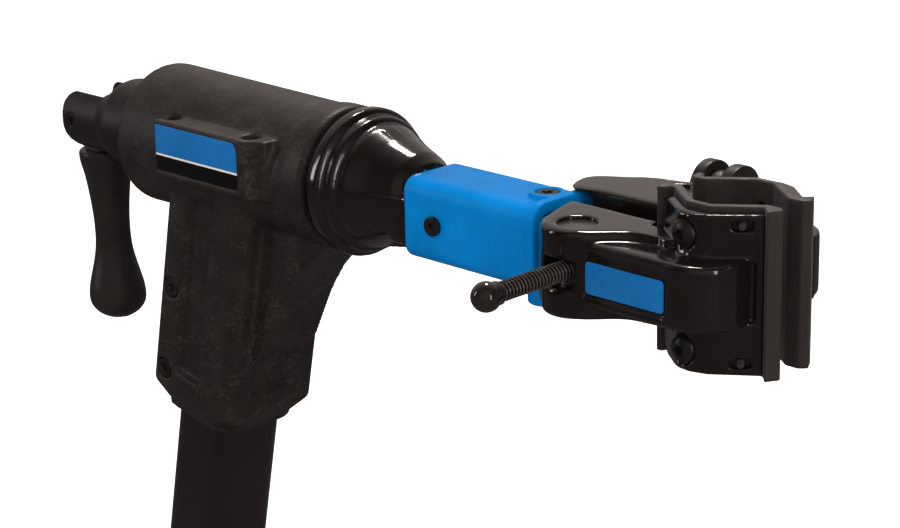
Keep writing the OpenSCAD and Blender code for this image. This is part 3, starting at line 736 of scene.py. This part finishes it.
class StandColours(bpy.types.PropertyGroup):
    """Colours of the finishes."""

    enamel_black: colour_property("Black enamel", "Castings, hub and tubes", (0.0065, 0.0052, 0.0047))
    enamel_blue: colour_property("Blue enamel", "Square arm behind the clamp", (0.0, 0.205, 0.6))
    nylon: colour_property(
        "Housing nylon", "Head housing, collars and knuckles", (0.0125, 0.0092, 0.0082)
    )
    handle: colour_property("Handle nylon", "Levers", (0.0135, 0.0105, 0.0095))
    rubber: colour_property("Rubber", "Jaw covers and feet", (0.0165, 0.0135, 0.0122))
    label_blue: colour_property("Label blue", "Label films, kept plain", (0.006, 0.15, 0.45))
    label_black: colour_property(
        "Label black", "Lower band of the housing label", (0.0025, 0.003, 0.004)
    )
    floor: colour_property("Floor", "Studio floor", (0.80, 0.80, 0.80))


class StandSizes(bpy.types.PropertyGroup):
    """Sizes of the details that the solids leave plain."""

    thread_pitch: length_property("Thread pitch", "Rise of the rod's thread", 0.0022, 0.001, 0.003)
    thread_depth: length_property("Thread depth", "Crest to root of the thread", 0.001, 0.0003, 0.0012)
    cast_grid: length_property(
        "Casting grid", "Grid at which castings are rounded", 0.0008, 0.0005, 0.002
    )
    mould_grid: length_property(
        "Moulding grid", "Grid at which mouldings are rounded", 0.001, 0.0006, 0.002
    )
    parting: length_property(
        "Parting line", "Height of the ridge where moulds met", 0.0003, 0.0, 0.0006
    )
    foot_rib: length_property("Foot groove", "Depth of the grooves round the feet", 0.0011, 0.0, 0.002)


class StandStage(bpy.types.PropertyGroup):
    """Camera and lights."""

    lens: bpy.props.FloatProperty(
        name="Lens", description="Focal length in millimetres", default=94.4, min=20, max=300,
        subtype="DISTANCE_CAMERA",
    )
    view_turn: angle_property(
        "View turn", "Compass direction the camera looks in, from +Y towards -X", 45.435
    )
    view_dip: angle_property("View dip", "Angle the camera looks down", 17.584)
    view_roll: angle_property("View roll", "Turn of the view about the line of sight", -1.332)
    distance: length_property("Distance", "Camera to the point it looks at", 1.2, 0.3, 6.0)
    aim: bpy.props.FloatVectorProperty(
        name="Aim", description="Point looked at, from the rear end of the barrel", size=3,
        default=(0.2343, -0.0092, -0.0289), subtype="TRANSLATION", unit="LENGTH",
    )
    key: bpy.props.FloatProperty(
        name="Key light", description="Watts of the overhead panel", default=30.0, min=0,
        subtype="POWER",
    )
    fill: bpy.props.FloatProperty(
        name="Fill light", description="Watts that the side panels take shares of",
        default=26.0, min=0, subtype="POWER",
    )


class StandStep:
    """What all the build operators share."""

    bl_options = {"REGISTER", "UNDO"}


# ---------- head ----------
class STAND_OT_housing(StandStep, bpy.types.Operator):
    """Head housing: barrel, neck and label boss in grained nylon"""

    bl_idname = "stand.housing"
    bl_label = "Head housing"

    def execute(self, context):
        grid = context.scene.stand_sizes.mould_grid / MM
        cast_piece("head_housing", grid * 1.32, 3, "housing")
        bushes = frame["nodes"]["spindle_bushes"].data.materials
        bushes.clear()
        bushes.append(finish_named("bush"))
        crisp_piece("neck_screws", 0.25, "black screw")
        crisp_piece("boss_screws", 0.25, "black screw")
        crisp_piece("thrust_washer", 0.3, "fork")
        return {"FINISHED"}


class STAND_OT_housing_label(StandStep, bpy.types.Operator):
    """Plain two-band label in the recess of the housing"""

    bl_idname = "stand.housing_label"
    bl_label = "Housing label"

    def execute(self, context):
        middle, (w, _, h) = middle_and_half("housing_label")
        cut_down, cut_along = 4.6 * MM, 2.53 * MM
        outline = eased(
            [(w, -h), (w, h - cut_down), (w - cut_along, h), (-w, h), (-w, -h)],
            1.6 * MM, 6, closed=True,
        )
        back = corners("housing_label")[1][1]
        place = ((middle[0], back, middle[2]), AXIS_X, AXIS_Z, -AXIS_Y)
        plate = slab(outline, 0.0, LABEL_THICK, 0.18 * MM, place)
        new_piece("housing_label", plate, "banded label")
        return {"FINISHED"}


def drop_grip(origin, stations, down, side, n=72, squash=0.98, end=13.2 * MM):
    """Handle grip: rings whose radius follows the stations, a little narrower across side, and
    whose last stretch is half an ellipse."""
    depth, radius, shift = np.asarray(stations, float).T * MM
    d = np.linspace(depth[0], depth[-1], 90)
    d = np.concatenate([d[:-1], depth[-1] - (depth[-1] - d[-2]) * np.geomspace(1, 0.02, 8)[1:]])
    r = np.maximum(sampled(depth, radius, d), 0.0)
    start = depth[-1] + 0.1 * MM - end
    bulb = np.sqrt(np.maximum(1 - ((d - start) / end) ** 2, 0)) * radius.max()
    r = np.where(d > start, bulb, r)
    ring = circle(n, side, np.cross(down, side) * squash)
    centre = np.asarray(origin) + d[:, None] * down + np.interp(d, depth, shift)[:, None] * side
    return skin(centre[:, None] + r[:, None, None] * ring)


class STAND_OT_head_lock(StandStep, bpy.types.Operator):
    """Fork, pin and hanging lever that lock the head's turn"""

    bl_idname = "stand.head_lock"
    bl_label = "Head lock"

    # depth below the pin, radius, shift towards the clamp, all in millimetres
    GRIP = (
        (20.9, 15.2, 2.9), (21.7, 16.0, 2.9), (23.6, 16.3, 3.0), (27.5, 16.0, 3.1),
        (35, 14.3, 3.3), (46, 12.6, 3.6), (57, 11.4, 3.9), (67, 10.8, 4.2), (75, 10.8, 4.4),
        (83, 11.5, 4.6), (91, 13.1, 4.8), (99, 15.2, 5.0), (106, 16.8, 5.2), (111.5, 17.3, 5.3),
        (117, 16.7, 5.5), (125.7, 0.0, 5.7),
    )

    def execute(self, context):
        pivot = joint_place("lock_lever_turn")
        # the eye on the pin, the cam between the cheeks, and the block that carries the grip
        half_eye, eye_radius, cam, block = (v * MM for v in (14.5, 5.8, 7.9, 26))
        eye, boss = (
            turned(eased([(-w, 0), (-w, r), (w, r), (w, 0)], 0.6 * MM, 4), pivot, AXIS_Y, AXIS_X)
            for w, r in ((half_eye, eye_radius), (cam, cam))
        )
        side_view = [(-cam, -block), (cam, -block), (cam, 0), (-cam, 0)]
        neck = slab(
            eased(side_view, 1.0 * MM, 4, closed=True), -cam, cam, 0.8 * MM,
            (pivot, AXIS_X, AXIS_Z, AXIS_Y),
        )
        grip = drop_grip(pivot, self.GRIP, -AXIS_Z, AXIS_X)
        solid = shell_mesh("lock_lever_skin", joined(eye, boss, neck, grip))
        mesh = regridded(solid, 0.62, 4)
        # the parting line: a ridge in the middle plane of the grip
        co, normals = field(mesh.vertices, "co"), field(mesh.vertex_normals, "vector")
        ridge = context.scene.stand_sizes.parting * np.exp(-((co[:, 1] / (0.45 * MM)) ** 2))
        ridge[co[:, 2] > pivot[2] - block] = 0.0
        move_points(mesh, co + normals * ridge[:, None])
        set_piece("lock_lever", mesh, "handle", 60.0)
        cast_piece("lock_fork", 0.75, 4, "fork")
        crisp_piece("lock_pin", 0.4, "black screw")
        crisp_piece("lock_plunger", 0.4, "plated")
        return {"FINISHED"}


class STAND_OT_head_arm(StandStep, bpy.types.Operator):
    """Turning hub and square blue arm with their screws"""

    bl_idname = "stand.head_arm"
    bl_label = "Head arm"

    def execute(self, context):
        grid = context.scene.stand_sizes.cast_grid / MM
        cast_piece("arm_spindle", grid, 8, "gloss black")
        cast_piece("clamp_arm", grid * 0.9, 9, "blue")
        crisp_piece("arm_screws", 0.3, "black screw")
        crisp_piece("pivot_bolt", 0.35, "black screw")
        return {"FINISHED"}


# ---------- clamp ----------
def socket_head(centre, out, side, socket=2.4 * MM, depth=1.9 * MM, lobes=6, n=96):
    """Round-topped screw head with a lobed socket: rings run from the rim over the dome, down
    the socket wall, whose radius swings lobes times round, to its floor."""
    radius, height = JAW_SCREW_RADIUS, JAW_SCREW_RISE
    t = np.linspace(0, 2 * math.pi, n, endpoint=False)
    star = socket * (1 + 0.13 * np.cos(lobes * t))
    rim = [(-2.2 * MM, 0.55), (-2.2 * MM, 0.98), (0.1 * height, 1.0)]
    rings = [(np.full(n, radius * r), a) for a, r in rim]
    for v in np.linspace(0, 1, 9)[1:]:
        dome = np.full(n, radius * np.cos(v * 0.5 * math.pi * 0.86))
        rings.append((np.maximum(dome, star * 1.06), height * math.sin(v * 1.45)))
    rings += [(star, height * 0.985), (star * 0.97, height - depth), (star * 0.3, height - depth * 1.1)]
    ring = circle(n, side, np.cross(out, side))
    return skin(np.array([np.asarray(centre) + a * out + r[:, None] * ring for r, a in rings]))


class STAND_OT_clamp_arms(StandStep, bpy.types.Operator):
    """The two cast clamp arms with their plain labels and cover screws"""

    bl_idname = "stand.clamp_arms"
    bl_label = "Clamp arms"

    def outer_face(self, node, sign):
        """Place along Y of the face of a node that looks away from the arm's axis."""
        low, high = corners(node)
        return (high if sign > 0 else low)[1]

    def crisp_boxes(self, side):
        """Places on an arm that keep their small fillets: label, nut, cover and both screws."""
        boxes = []
        for name, room in (("_label", 1.2), ("_nut", 1.5), ("_jaw_cover", 4.5)):
            low, high = corners(side + name)
            boxes.append((low - room * MM, high + room * MM))
        low, high = corners(side + "_jaw_screws")
        room = 1.5 * MM
        head = np.array((0, 0, 2 * JAW_SCREW_RADIUS))
        boxes.append((low - room, np.array((*high[:2], low[2])) + head + room))
        boxes.append((np.array((*low[:2], high[2])) - head - room, high + room))
        return boxes

    def execute(self, context):
        grid = context.scene.stand_sizes.cast_grid / MM
        for side, sign in (("near", -1), ("far", 1)):
            arm, label, screws = side + "_arm", side + "_label", side + "_jaw_screws"
            outward = sign * AXIS_Y
            cast_piece(
                arm, grid * 0.82, 9, "gloss black",
                broad=34, kept=self.crisp_boxes(side),
            )
            middle, (w, _, h) = middle_and_half(label)
            outline = eased([(w, -h), (w, h), (-w, h), (-w, -h)], 2.3 * MM, 8, closed=True)
            place = ((middle[0], self.outer_face(label, sign), middle[2]), AXIS_X, AXIS_Z, outward)
            plate = slab(outline, -LABEL_THICK, 0.0, 0.2 * MM, place)
            new_piece(label, plate, "blue label")
            low, high = corners(screws)
            x, y = (low[0] + high[0]) / 2, self.outer_face(screws, sign) - sign * JAW_SCREW_RISE
            heads = [
                socket_head((x, y, z), outward, AXIS_X)
                for z in (low[2] + JAW_SCREW_RADIUS, high[2] - JAW_SCREW_RADIUS)
            ]
            new_piece(screws, joined(*heads), "black screw", 40)
            crisp_piece(side + "_nut", 0.5, "dark steel")
        return {"FINISHED"}


class STAND_OT_jaw_covers(StandStep, bpy.types.Operator):
    """Rubber covers that line the jaws"""

    bl_idname = "stand.jaw_covers"
    bl_label = "Jaw covers"

    def execute(self, context):
        for side in ("near", "far"):
            cast_piece(side + "_jaw_cover", 0.62, 9, "jaw rubber")
        return {"FINISHED"}


def threaded_rod(origin, axis, side, low, high, pitch, depth, plain_high, n=64, per_turn=10):
    """Rod with a helical thread: at angle t and distance a the radius drops by depth times a
    rounded saw of a / pitch - t / turn, faded out at both ends, and stays plain past high."""
    t = np.linspace(0, 1, n, endpoint=False)
    a = np.linspace(low, high, int((high - low) / pitch * per_turn))
    phase = (a[:, None] / pitch - t[None]) % 1.0
    groove = np.clip(1.5 - 2.9 * np.abs(phase - 0.5), 0.0, 1.0)
    fade = np.clip((a - low) / (1.2 * pitch), 0, 1) * np.clip((high - a) / (1.5 * pitch), 0, 1)
    r = ROD_RADIUS - depth * groove * fade[:, None]
    lead = np.array([[0.82], [0.91]])
    r = np.concatenate([r[:1] * lead, r, np.full((2, n), ROD_RADIUS)])
    a = np.concatenate([[low - 0.9 * MM, low - 0.45 * MM], a, [high + 0.3 * MM, plain_high]])
    ring = circle(n, side, np.cross(axis, side))
    return skin(np.asarray(origin) + a[:, None, None] * np.asarray(axis) + r[:, :, None] * ring)


class STAND_OT_clamp_rod(StandStep, bpy.types.Operator):
    """Threaded rod with its eye, round end cap, saddle and cam pin"""

    bl_idname = "stand.clamp_rod"
    bl_label = "Clamp rod"

    def execute(self, context):
        axle, pin = joint_place("rod_spin"), joint_place("clamp_lever_turn")
        rod = self.rod(context.scene.stand_sizes, axle, pin)
        new_piece("clamp_rod", joined(rod, self.eye(pin)), "rod", 50)
        new_piece("rod_ball", self.ball(axle), "cap", 50)
        crisp_piece("cam_saddle", 0.5, "brass")
        crisp_piece("cam_pin", 0.4, "plated")
        return {"FINISHED"}

    def rod(self, sizes, axle, pin):
        """The rod from inside the ball to the eye, its thread ending on the far side."""
        thread_end, root = 20 * MM, 2 * MM
        near_end = span("clamp_rod", AXIS_Y)[0] - axle[1]
        return threaded_rod(
            axle, AXIS_Y, AXIS_X, near_end + 1 * MM, -thread_end, sizes.thread_pitch,
            sizes.thread_depth, pin[1] - axle[1] - root,
        )

    def eye(self, pin):
        """The flat eye round the cam pin: half a circle over a square foot."""
        reach, thick = 8.6 * MM, 4.6 * MM
        drop = pin[2] - span("clamp_rod", AXIS_Z)[0]
        t = np.linspace(0, math.pi, 24)
        arc = np.stack([np.cos(t), np.sin(t)], -1) * reach
        foot = [(-reach, -drop), (reach, -drop)]
        outline = np.concatenate([arc, eased([arc[-1], *foot, arc[0]], 2.0 * MM, 5)[1:-1]])
        return slab(outline, -thick, thick, 0.7 * MM, (pin, AXIS_Y, AXIS_Z, AXIS_X))

    def ball(self, axle):
        """The ball at the near end with the collar behind it, as one turned part."""
        ball, neck = 7.2 * MM, 5.7 * MM
        low, end = (v - axle[1] for v in span("rod_ball", AXIS_Y))
        centre = low + ball
        a = np.linspace(-1, 0.62, 34)
        profile = np.stack([centre + ball * a, ball * np.sqrt(1 - a**2)], -1)
        collar = eased(
            [
                profile[-1], (centre + 0.80 * ball, neck), (end - 0.6 * MM, neck),
                (end, neck - 0.7 * MM), (end, 0),
            ],
            [0, 1.4 * MM, 0.5 * MM, 0.4 * MM, 0], 5,
        )
        return turned(np.concatenate([profile, collar[1:]]), axle, AXIS_Y, AXIS_X)


class STAND_OT_clamp_lever(StandStep, bpy.types.Operator):
    """Cam lever that closes the clamp"""

    bl_idname = "stand.clamp_lever"
    bl_label = "Clamp lever"

    def execute(self, context):
        cast_piece("clamp_lever", 0.6, 4, "handle")
        return {"FINISHED"}


# ---------- mast and legs ----------
class STAND_OT_mast(StandStep, bpy.types.Operator):
    """Lower and upper mast tubes, mast foot and sliding shoe"""

    bl_idname = "stand.mast"
    bl_label = "Mast"

    def execute(self, context):
        place = (np.zeros(3), MAST_X, AXIS_Y, MAST_U)
        for node, radius_mm in (("lower_tube", 15.0), ("upper_tube", 12.0)):
            low, high = span(node, MAST_U)
            near, far = span(node, AXIS_Y)
            outline = rounded_square(far - near, radius_mm * MM)
            tube = walled_tube(outline, 3.0 * MM, low, high, place, edge=0.7 * MM)
            new_piece(node, tube, "tube black", 40)
        cast_piece("mast_foot", 0.9, 4, "foot rubber")
        crisp_piece("slide_shoe", 0.5, "bush")
        return {"FINISHED"}


class STAND_OT_collars(StandStep, bpy.types.Operator):
    """Height collar and leg collar with bolts, pins and cam levers"""

    bl_idname = "stand.collars"
    bl_label = "Collars"

    def execute(self, context):
        for name in ("height", "leg"):
            cast_piece(name + "_collar", 0.95, 4, "housing")
        for name in ("height", "collar"):
            crisp_piece(name + "_bolt", 0.4, "plated")
            crisp_piece(name + "_pin", 0.4, "plated")
            cast_piece(name + "_lever", 0.7, 6, "handle")
        return {"FINISHED"}


def foot_profile(low, high, ball, tube, rib, grooves=4):
    """Profile of a foot along the leg, from its tip: a round end of radius ball, a stretch whose
    radius dips by rib in every groove, a rounded lip and the bore for the tube."""
    centre = high - ball
    a = np.linspace(1, 0, 26)
    round_end = np.stack([centre + ball * a, ball * np.sqrt(1 - a**2)], -1)
    first, last = 3 * MM, 29 * MM
    back = np.linspace(first - 1 * MM, last + 2 * MM, 88)
    wave = np.sin((back - first) / (last - first) * grooves * 2 * math.pi)
    dip = rib * np.clip(wave, 0, 1) ** 0.6 * (back < last)
    ribbed = np.stack([centre - back, ball - dip], -1)
    lip, bore = tube + 1.5 * MM, tube + 0.02 * MM
    bore_end, lip_start = centre - 14 * MM, centre - 34 * MM
    top = eased(
        [ribbed[-1], (lip_start, ball), (low, lip), (low, bore), (bore_end, bore),
         (bore_end + 1 * MM, 0)],
        [0, 1.5 * MM, 0.8 * MM, 0.6 * MM, 1 * MM, 0], 5,
    )
    return np.concatenate([round_end, ribbed, top[1:]])


class STAND_OT_legs(StandStep, bpy.types.Operator):
    """Leg tubes, knuckles, pivot bolts and ribbed rubber feet"""

    bl_idname = "stand.legs"
    bl_label = "Legs"

    def execute(self, context):
        rib = context.scene.stand_sizes.foot_rib
        for side in ("left", "right"):
            leg, foot = side + "_leg", side + "_foot"
            pivot, hinge = joint_place(leg + "_fold"), joint_axis(leg + "_fold")
            down = long_axis(leg, -AXIS_Z)
            place = (pivot, hinge, np.cross(down, hinge), down)
            near, far = span(leg, hinge)
            radius = (far - near) / 2
            low, high = (v - pivot @ down for v in span(leg, down))
            tube = walled_tube(circle(56) * radius, 2.0 * MM, low, high, place, edge=0.5 * MM)
            new_piece(leg, tube, "tube black", 40)
            cast_piece(side + "_knuckle", 0.75, 4, "fork")
            near, far = span(foot, hinge)
            low, high = (v - pivot @ down for v in span(foot, down))
            profile = foot_profile(low, high, (far - near) / 2, radius, rib)
            new_piece(foot, turned(profile, pivot, down, hinge), "foot rubber", 50)
        crisp_piece("leg_bolts", 0.4, "plated")
        return {"FINISHED"}


# ---------- stage ----------
class STAND_OT_stage(StandStep, bpy.types.Operator):
    """Pale floor and sky, soft panels and the camera"""

    bl_idname = "stand.stage"
    bl_label = "Stage"

    # name, place, width and height, lamp setting and share of it, tint, shown in reflections
    PANELS = (
        ("overhead", (-0.3, 0.9, 3.1), (0.42, 0.36), "key", 1.0, (1.0, 0.92, 0.87), True),
        ("side_left", (-1.9, -2.1, 2.0), (0.28, 1.5), "fill", 0.45, (1.0, 0.95, 0.92), True),
        ("side_right", (2.7, -0.5, 1.5), (0.14, 1.3), "fill", 0.3, (1.0, 0.95, 0.92), True),
        ("low_front", (2.9, -1.2, 0.6), (2.8, 1.1), "fill", 0.5, (1.0, 0.9, 0.86), False),
    )

    def execute(self, context):
        scene = context.scene
        self.floor(scene)
        self.sky(scene)
        self.panels(scene)
        self.camera(scene)
        scene.view_settings.view_transform = "Standard"
        return {"FINISHED"}

    def floor(self, scene):
        """Round floor: darker to what it lights, and glowing white far out for the camera."""
        finish = bpy.data.materials.new("Studio floor")
        tree, out = empty_tree(finish, "ShaderNodeOutputMaterial")
        path = tree.nodes.new("ShaderNodeLightPath").outputs
        pale = rgba(scene.stand_colours.floor)
        seen = blended(tree, path["Is Diffuse Ray"], pale, shade(pale, 0.5))
        seen = blended(tree, path["Is Glossy Ray"], seen, shade(pale, 0.12))
        matt = place_node(tree, "ShaderNodeBsdfDiffuse", Color=seen)
        reach = vector_maths(tree, "LENGTH", in_0=object_place(tree))
        lift = between(tree, faded(tree, reach, 0.8, 2.6), 0.0, 0.85)
        glow = place_node(
            tree, "ShaderNodeEmission", Color=(1, 1, 1, 1),
            Strength=product(tree, path["Is Camera Ray"], lift),
        )
        both = place_node(tree, "ShaderNodeAddShader", in_0=matt.outputs[0], in_1=glow.outputs[0])
        tree.links.new(both.outputs[0], out.inputs["Surface"])
        rings = np.array([r * circle(96, AXIS_X, AXIS_Y) for r in (0.5, 2, 8, 40)])
        points, faces = skin(rings, True, False)
        mesh = bpy.data.meshes.new("studio_floor")
        mesh.from_pydata(points.tolist(), [], faces)
        mesh.flip_normals()
        mesh.materials.append(finish)
        floor = bpy.data.objects.new("studio_floor", mesh)
        scene.collection.objects.link(floor)

    def sky(self, scene):
        """White to the camera. Matt surfaces get light that rises with height and a bright
        patch on the clamp's side, glossy ones a dim patch behind the stand."""
        scene.world = bpy.data.worlds.new("Studio")
        tree, out = empty_tree(scene.world, "ShaderNodeOutputWorld")
        path = tree.nodes.new("ShaderNodeLightPath").outputs
        place = tree.nodes.new("ShaderNodeTexCoord").outputs["Generated"]
        ahead = vector_maths(tree, "DOT_PRODUCT", in_0=place, in_1=(-0.64, 0.62, 0.45))
        beside = vector_maths(tree, "DOT_PRODUCT", in_0=place, in_1=(0.75, -0.64, 0.16))
        patch = between(tree, faded(tree, beside, 0.4, 0.97), 0.0, 1.7)
        glossy = between(tree, faded(tree, ahead, 0.2, 0.98), 0.01, 0.46)
        glossy = maths(tree, "ADD", glossy, product(tree, patch, 0.14))
        rise = place_node(tree, "ShaderNodeSeparateXYZ", Vector=place).outputs["Z"]
        plain = between(tree, faded(tree, rise, 0.0, 1.0), 0.18, 0.74)
        level = swapped(tree, path["Is Glossy Ray"], maths(tree, "ADD", plain, patch), glossy)
        shown = swapped(tree, path["Is Camera Ray"], level, 1.0)
        warm = blended(tree, path["Is Camera Ray"], (1.0, 0.9, 0.85, 1), (1, 1, 1, 1))
        back = place_node(tree, "ShaderNodeBackground", Color=warm, Strength=shown)
        tree.links.new(back.outputs[0], out.inputs["Surface"])

    def panels(self, scene):
        """Rectangular lamps that face the head."""
        middle = Vector(HEAD) + Vector((0.15, 0, -0.15))
        for name, place, size, setting, share, tint, mirrored in self.PANELS:
            data = bpy.data.lights.new(name, "AREA")
            data.shape = "RECTANGLE"
            data.size, data.size_y = size
            data.energy = getattr(scene.stand_stage, setting) * share
            data.color = tint
            obj = bpy.data.objects.new(name, data)
            scene.collection.objects.link(obj)
            obj.location = place
            obj.rotation_euler = (middle - Vector(place)).to_track_quat("-Z", "Y").to_euler()
            obj.visible_glossy = mirrored

    def camera(self, scene):
        """Camera that looks at the aim from its distance, turned, dipped and rolled."""
        stage = scene.stand_stage
        turn, dip, roll = stage.view_turn, stage.view_dip, stage.view_roll
        ahead = Vector(
            (-math.sin(turn) * math.cos(dip), math.cos(turn) * math.cos(dip), -math.sin(dip))
        )
        level = Vector((math.cos(turn), math.sin(turn), 0.0))
        right = level * math.cos(roll) + level.cross(ahead) * math.sin(roll)
        data = bpy.data.cameras.new("view")
        data.sensor_fit = "HORIZONTAL"
        data.sensor_width = 36.0
        data.lens = stage.lens
        camera = bpy.data.objects.new("view", data)
        scene.collection.objects.link(camera)
        place = Vector(HEAD) + Vector(stage.aim) - ahead * stage.distance
        turned_to = Matrix((right, right.cross(ahead), -ahead)).transposed()
        camera.matrix_world = Matrix.Translation(place) @ turned_to.to_4x4()
        scene.camera = camera


class STAND_PT_panel(bpy.types.Panel):
    """Sizes, colours and build steps of the stand"""

    bl_idname = "STAND_PT_panel"
    bl_label = "Repair stand"
    bl_space_type = "VIEW_3D"
    bl_region_type = "UI"
    bl_category = "Stand"

    def draw(self, context):
        for group in SETTINGS:
            box = self.layout.box()
            settings = getattr(context.scene, group)
            for key in settings.__annotations__:
                box.prop(settings, key)
        for step in STEPS:
            self.layout.operator(step.bl_idname)


STEPS = (
    STAND_OT_stage,
    STAND_OT_housing,
    STAND_OT_housing_label,
    STAND_OT_head_lock,
    STAND_OT_head_arm,
    STAND_OT_clamp_arms,
    STAND_OT_jaw_covers,
    STAND_OT_clamp_rod,
    STAND_OT_clamp_lever,
    STAND_OT_mast,
    STAND_OT_collars,
    STAND_OT_legs,
)
SETTINGS = {"stand_colours": StandColours, "stand_sizes": StandSizes, "stand_stage": StandStage}
CLASSES = (*SETTINGS.values(), *STEPS, STAND_PT_panel)


def register():
    for kind in CLASSES:
        bpy.utils.register_class(kind)
    for name, kind in SETTINGS.items():
        setattr(bpy.types.Scene, name, bpy.props.PointerProperty(type=kind))


def unregister():
    for name in SETTINGS:
        delattr(bpy.types.Scene, name)
    for kind in reversed(CLASSES):
        bpy.utils.unregister_class(kind)


def main():
    """Registers the add-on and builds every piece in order."""
    register()
    for step in STEPS:
        group, name = step.bl_idname.split(".")
        getattr(getattr(bpy.ops, group), name)()


if __name__ == "__main__":
    main()
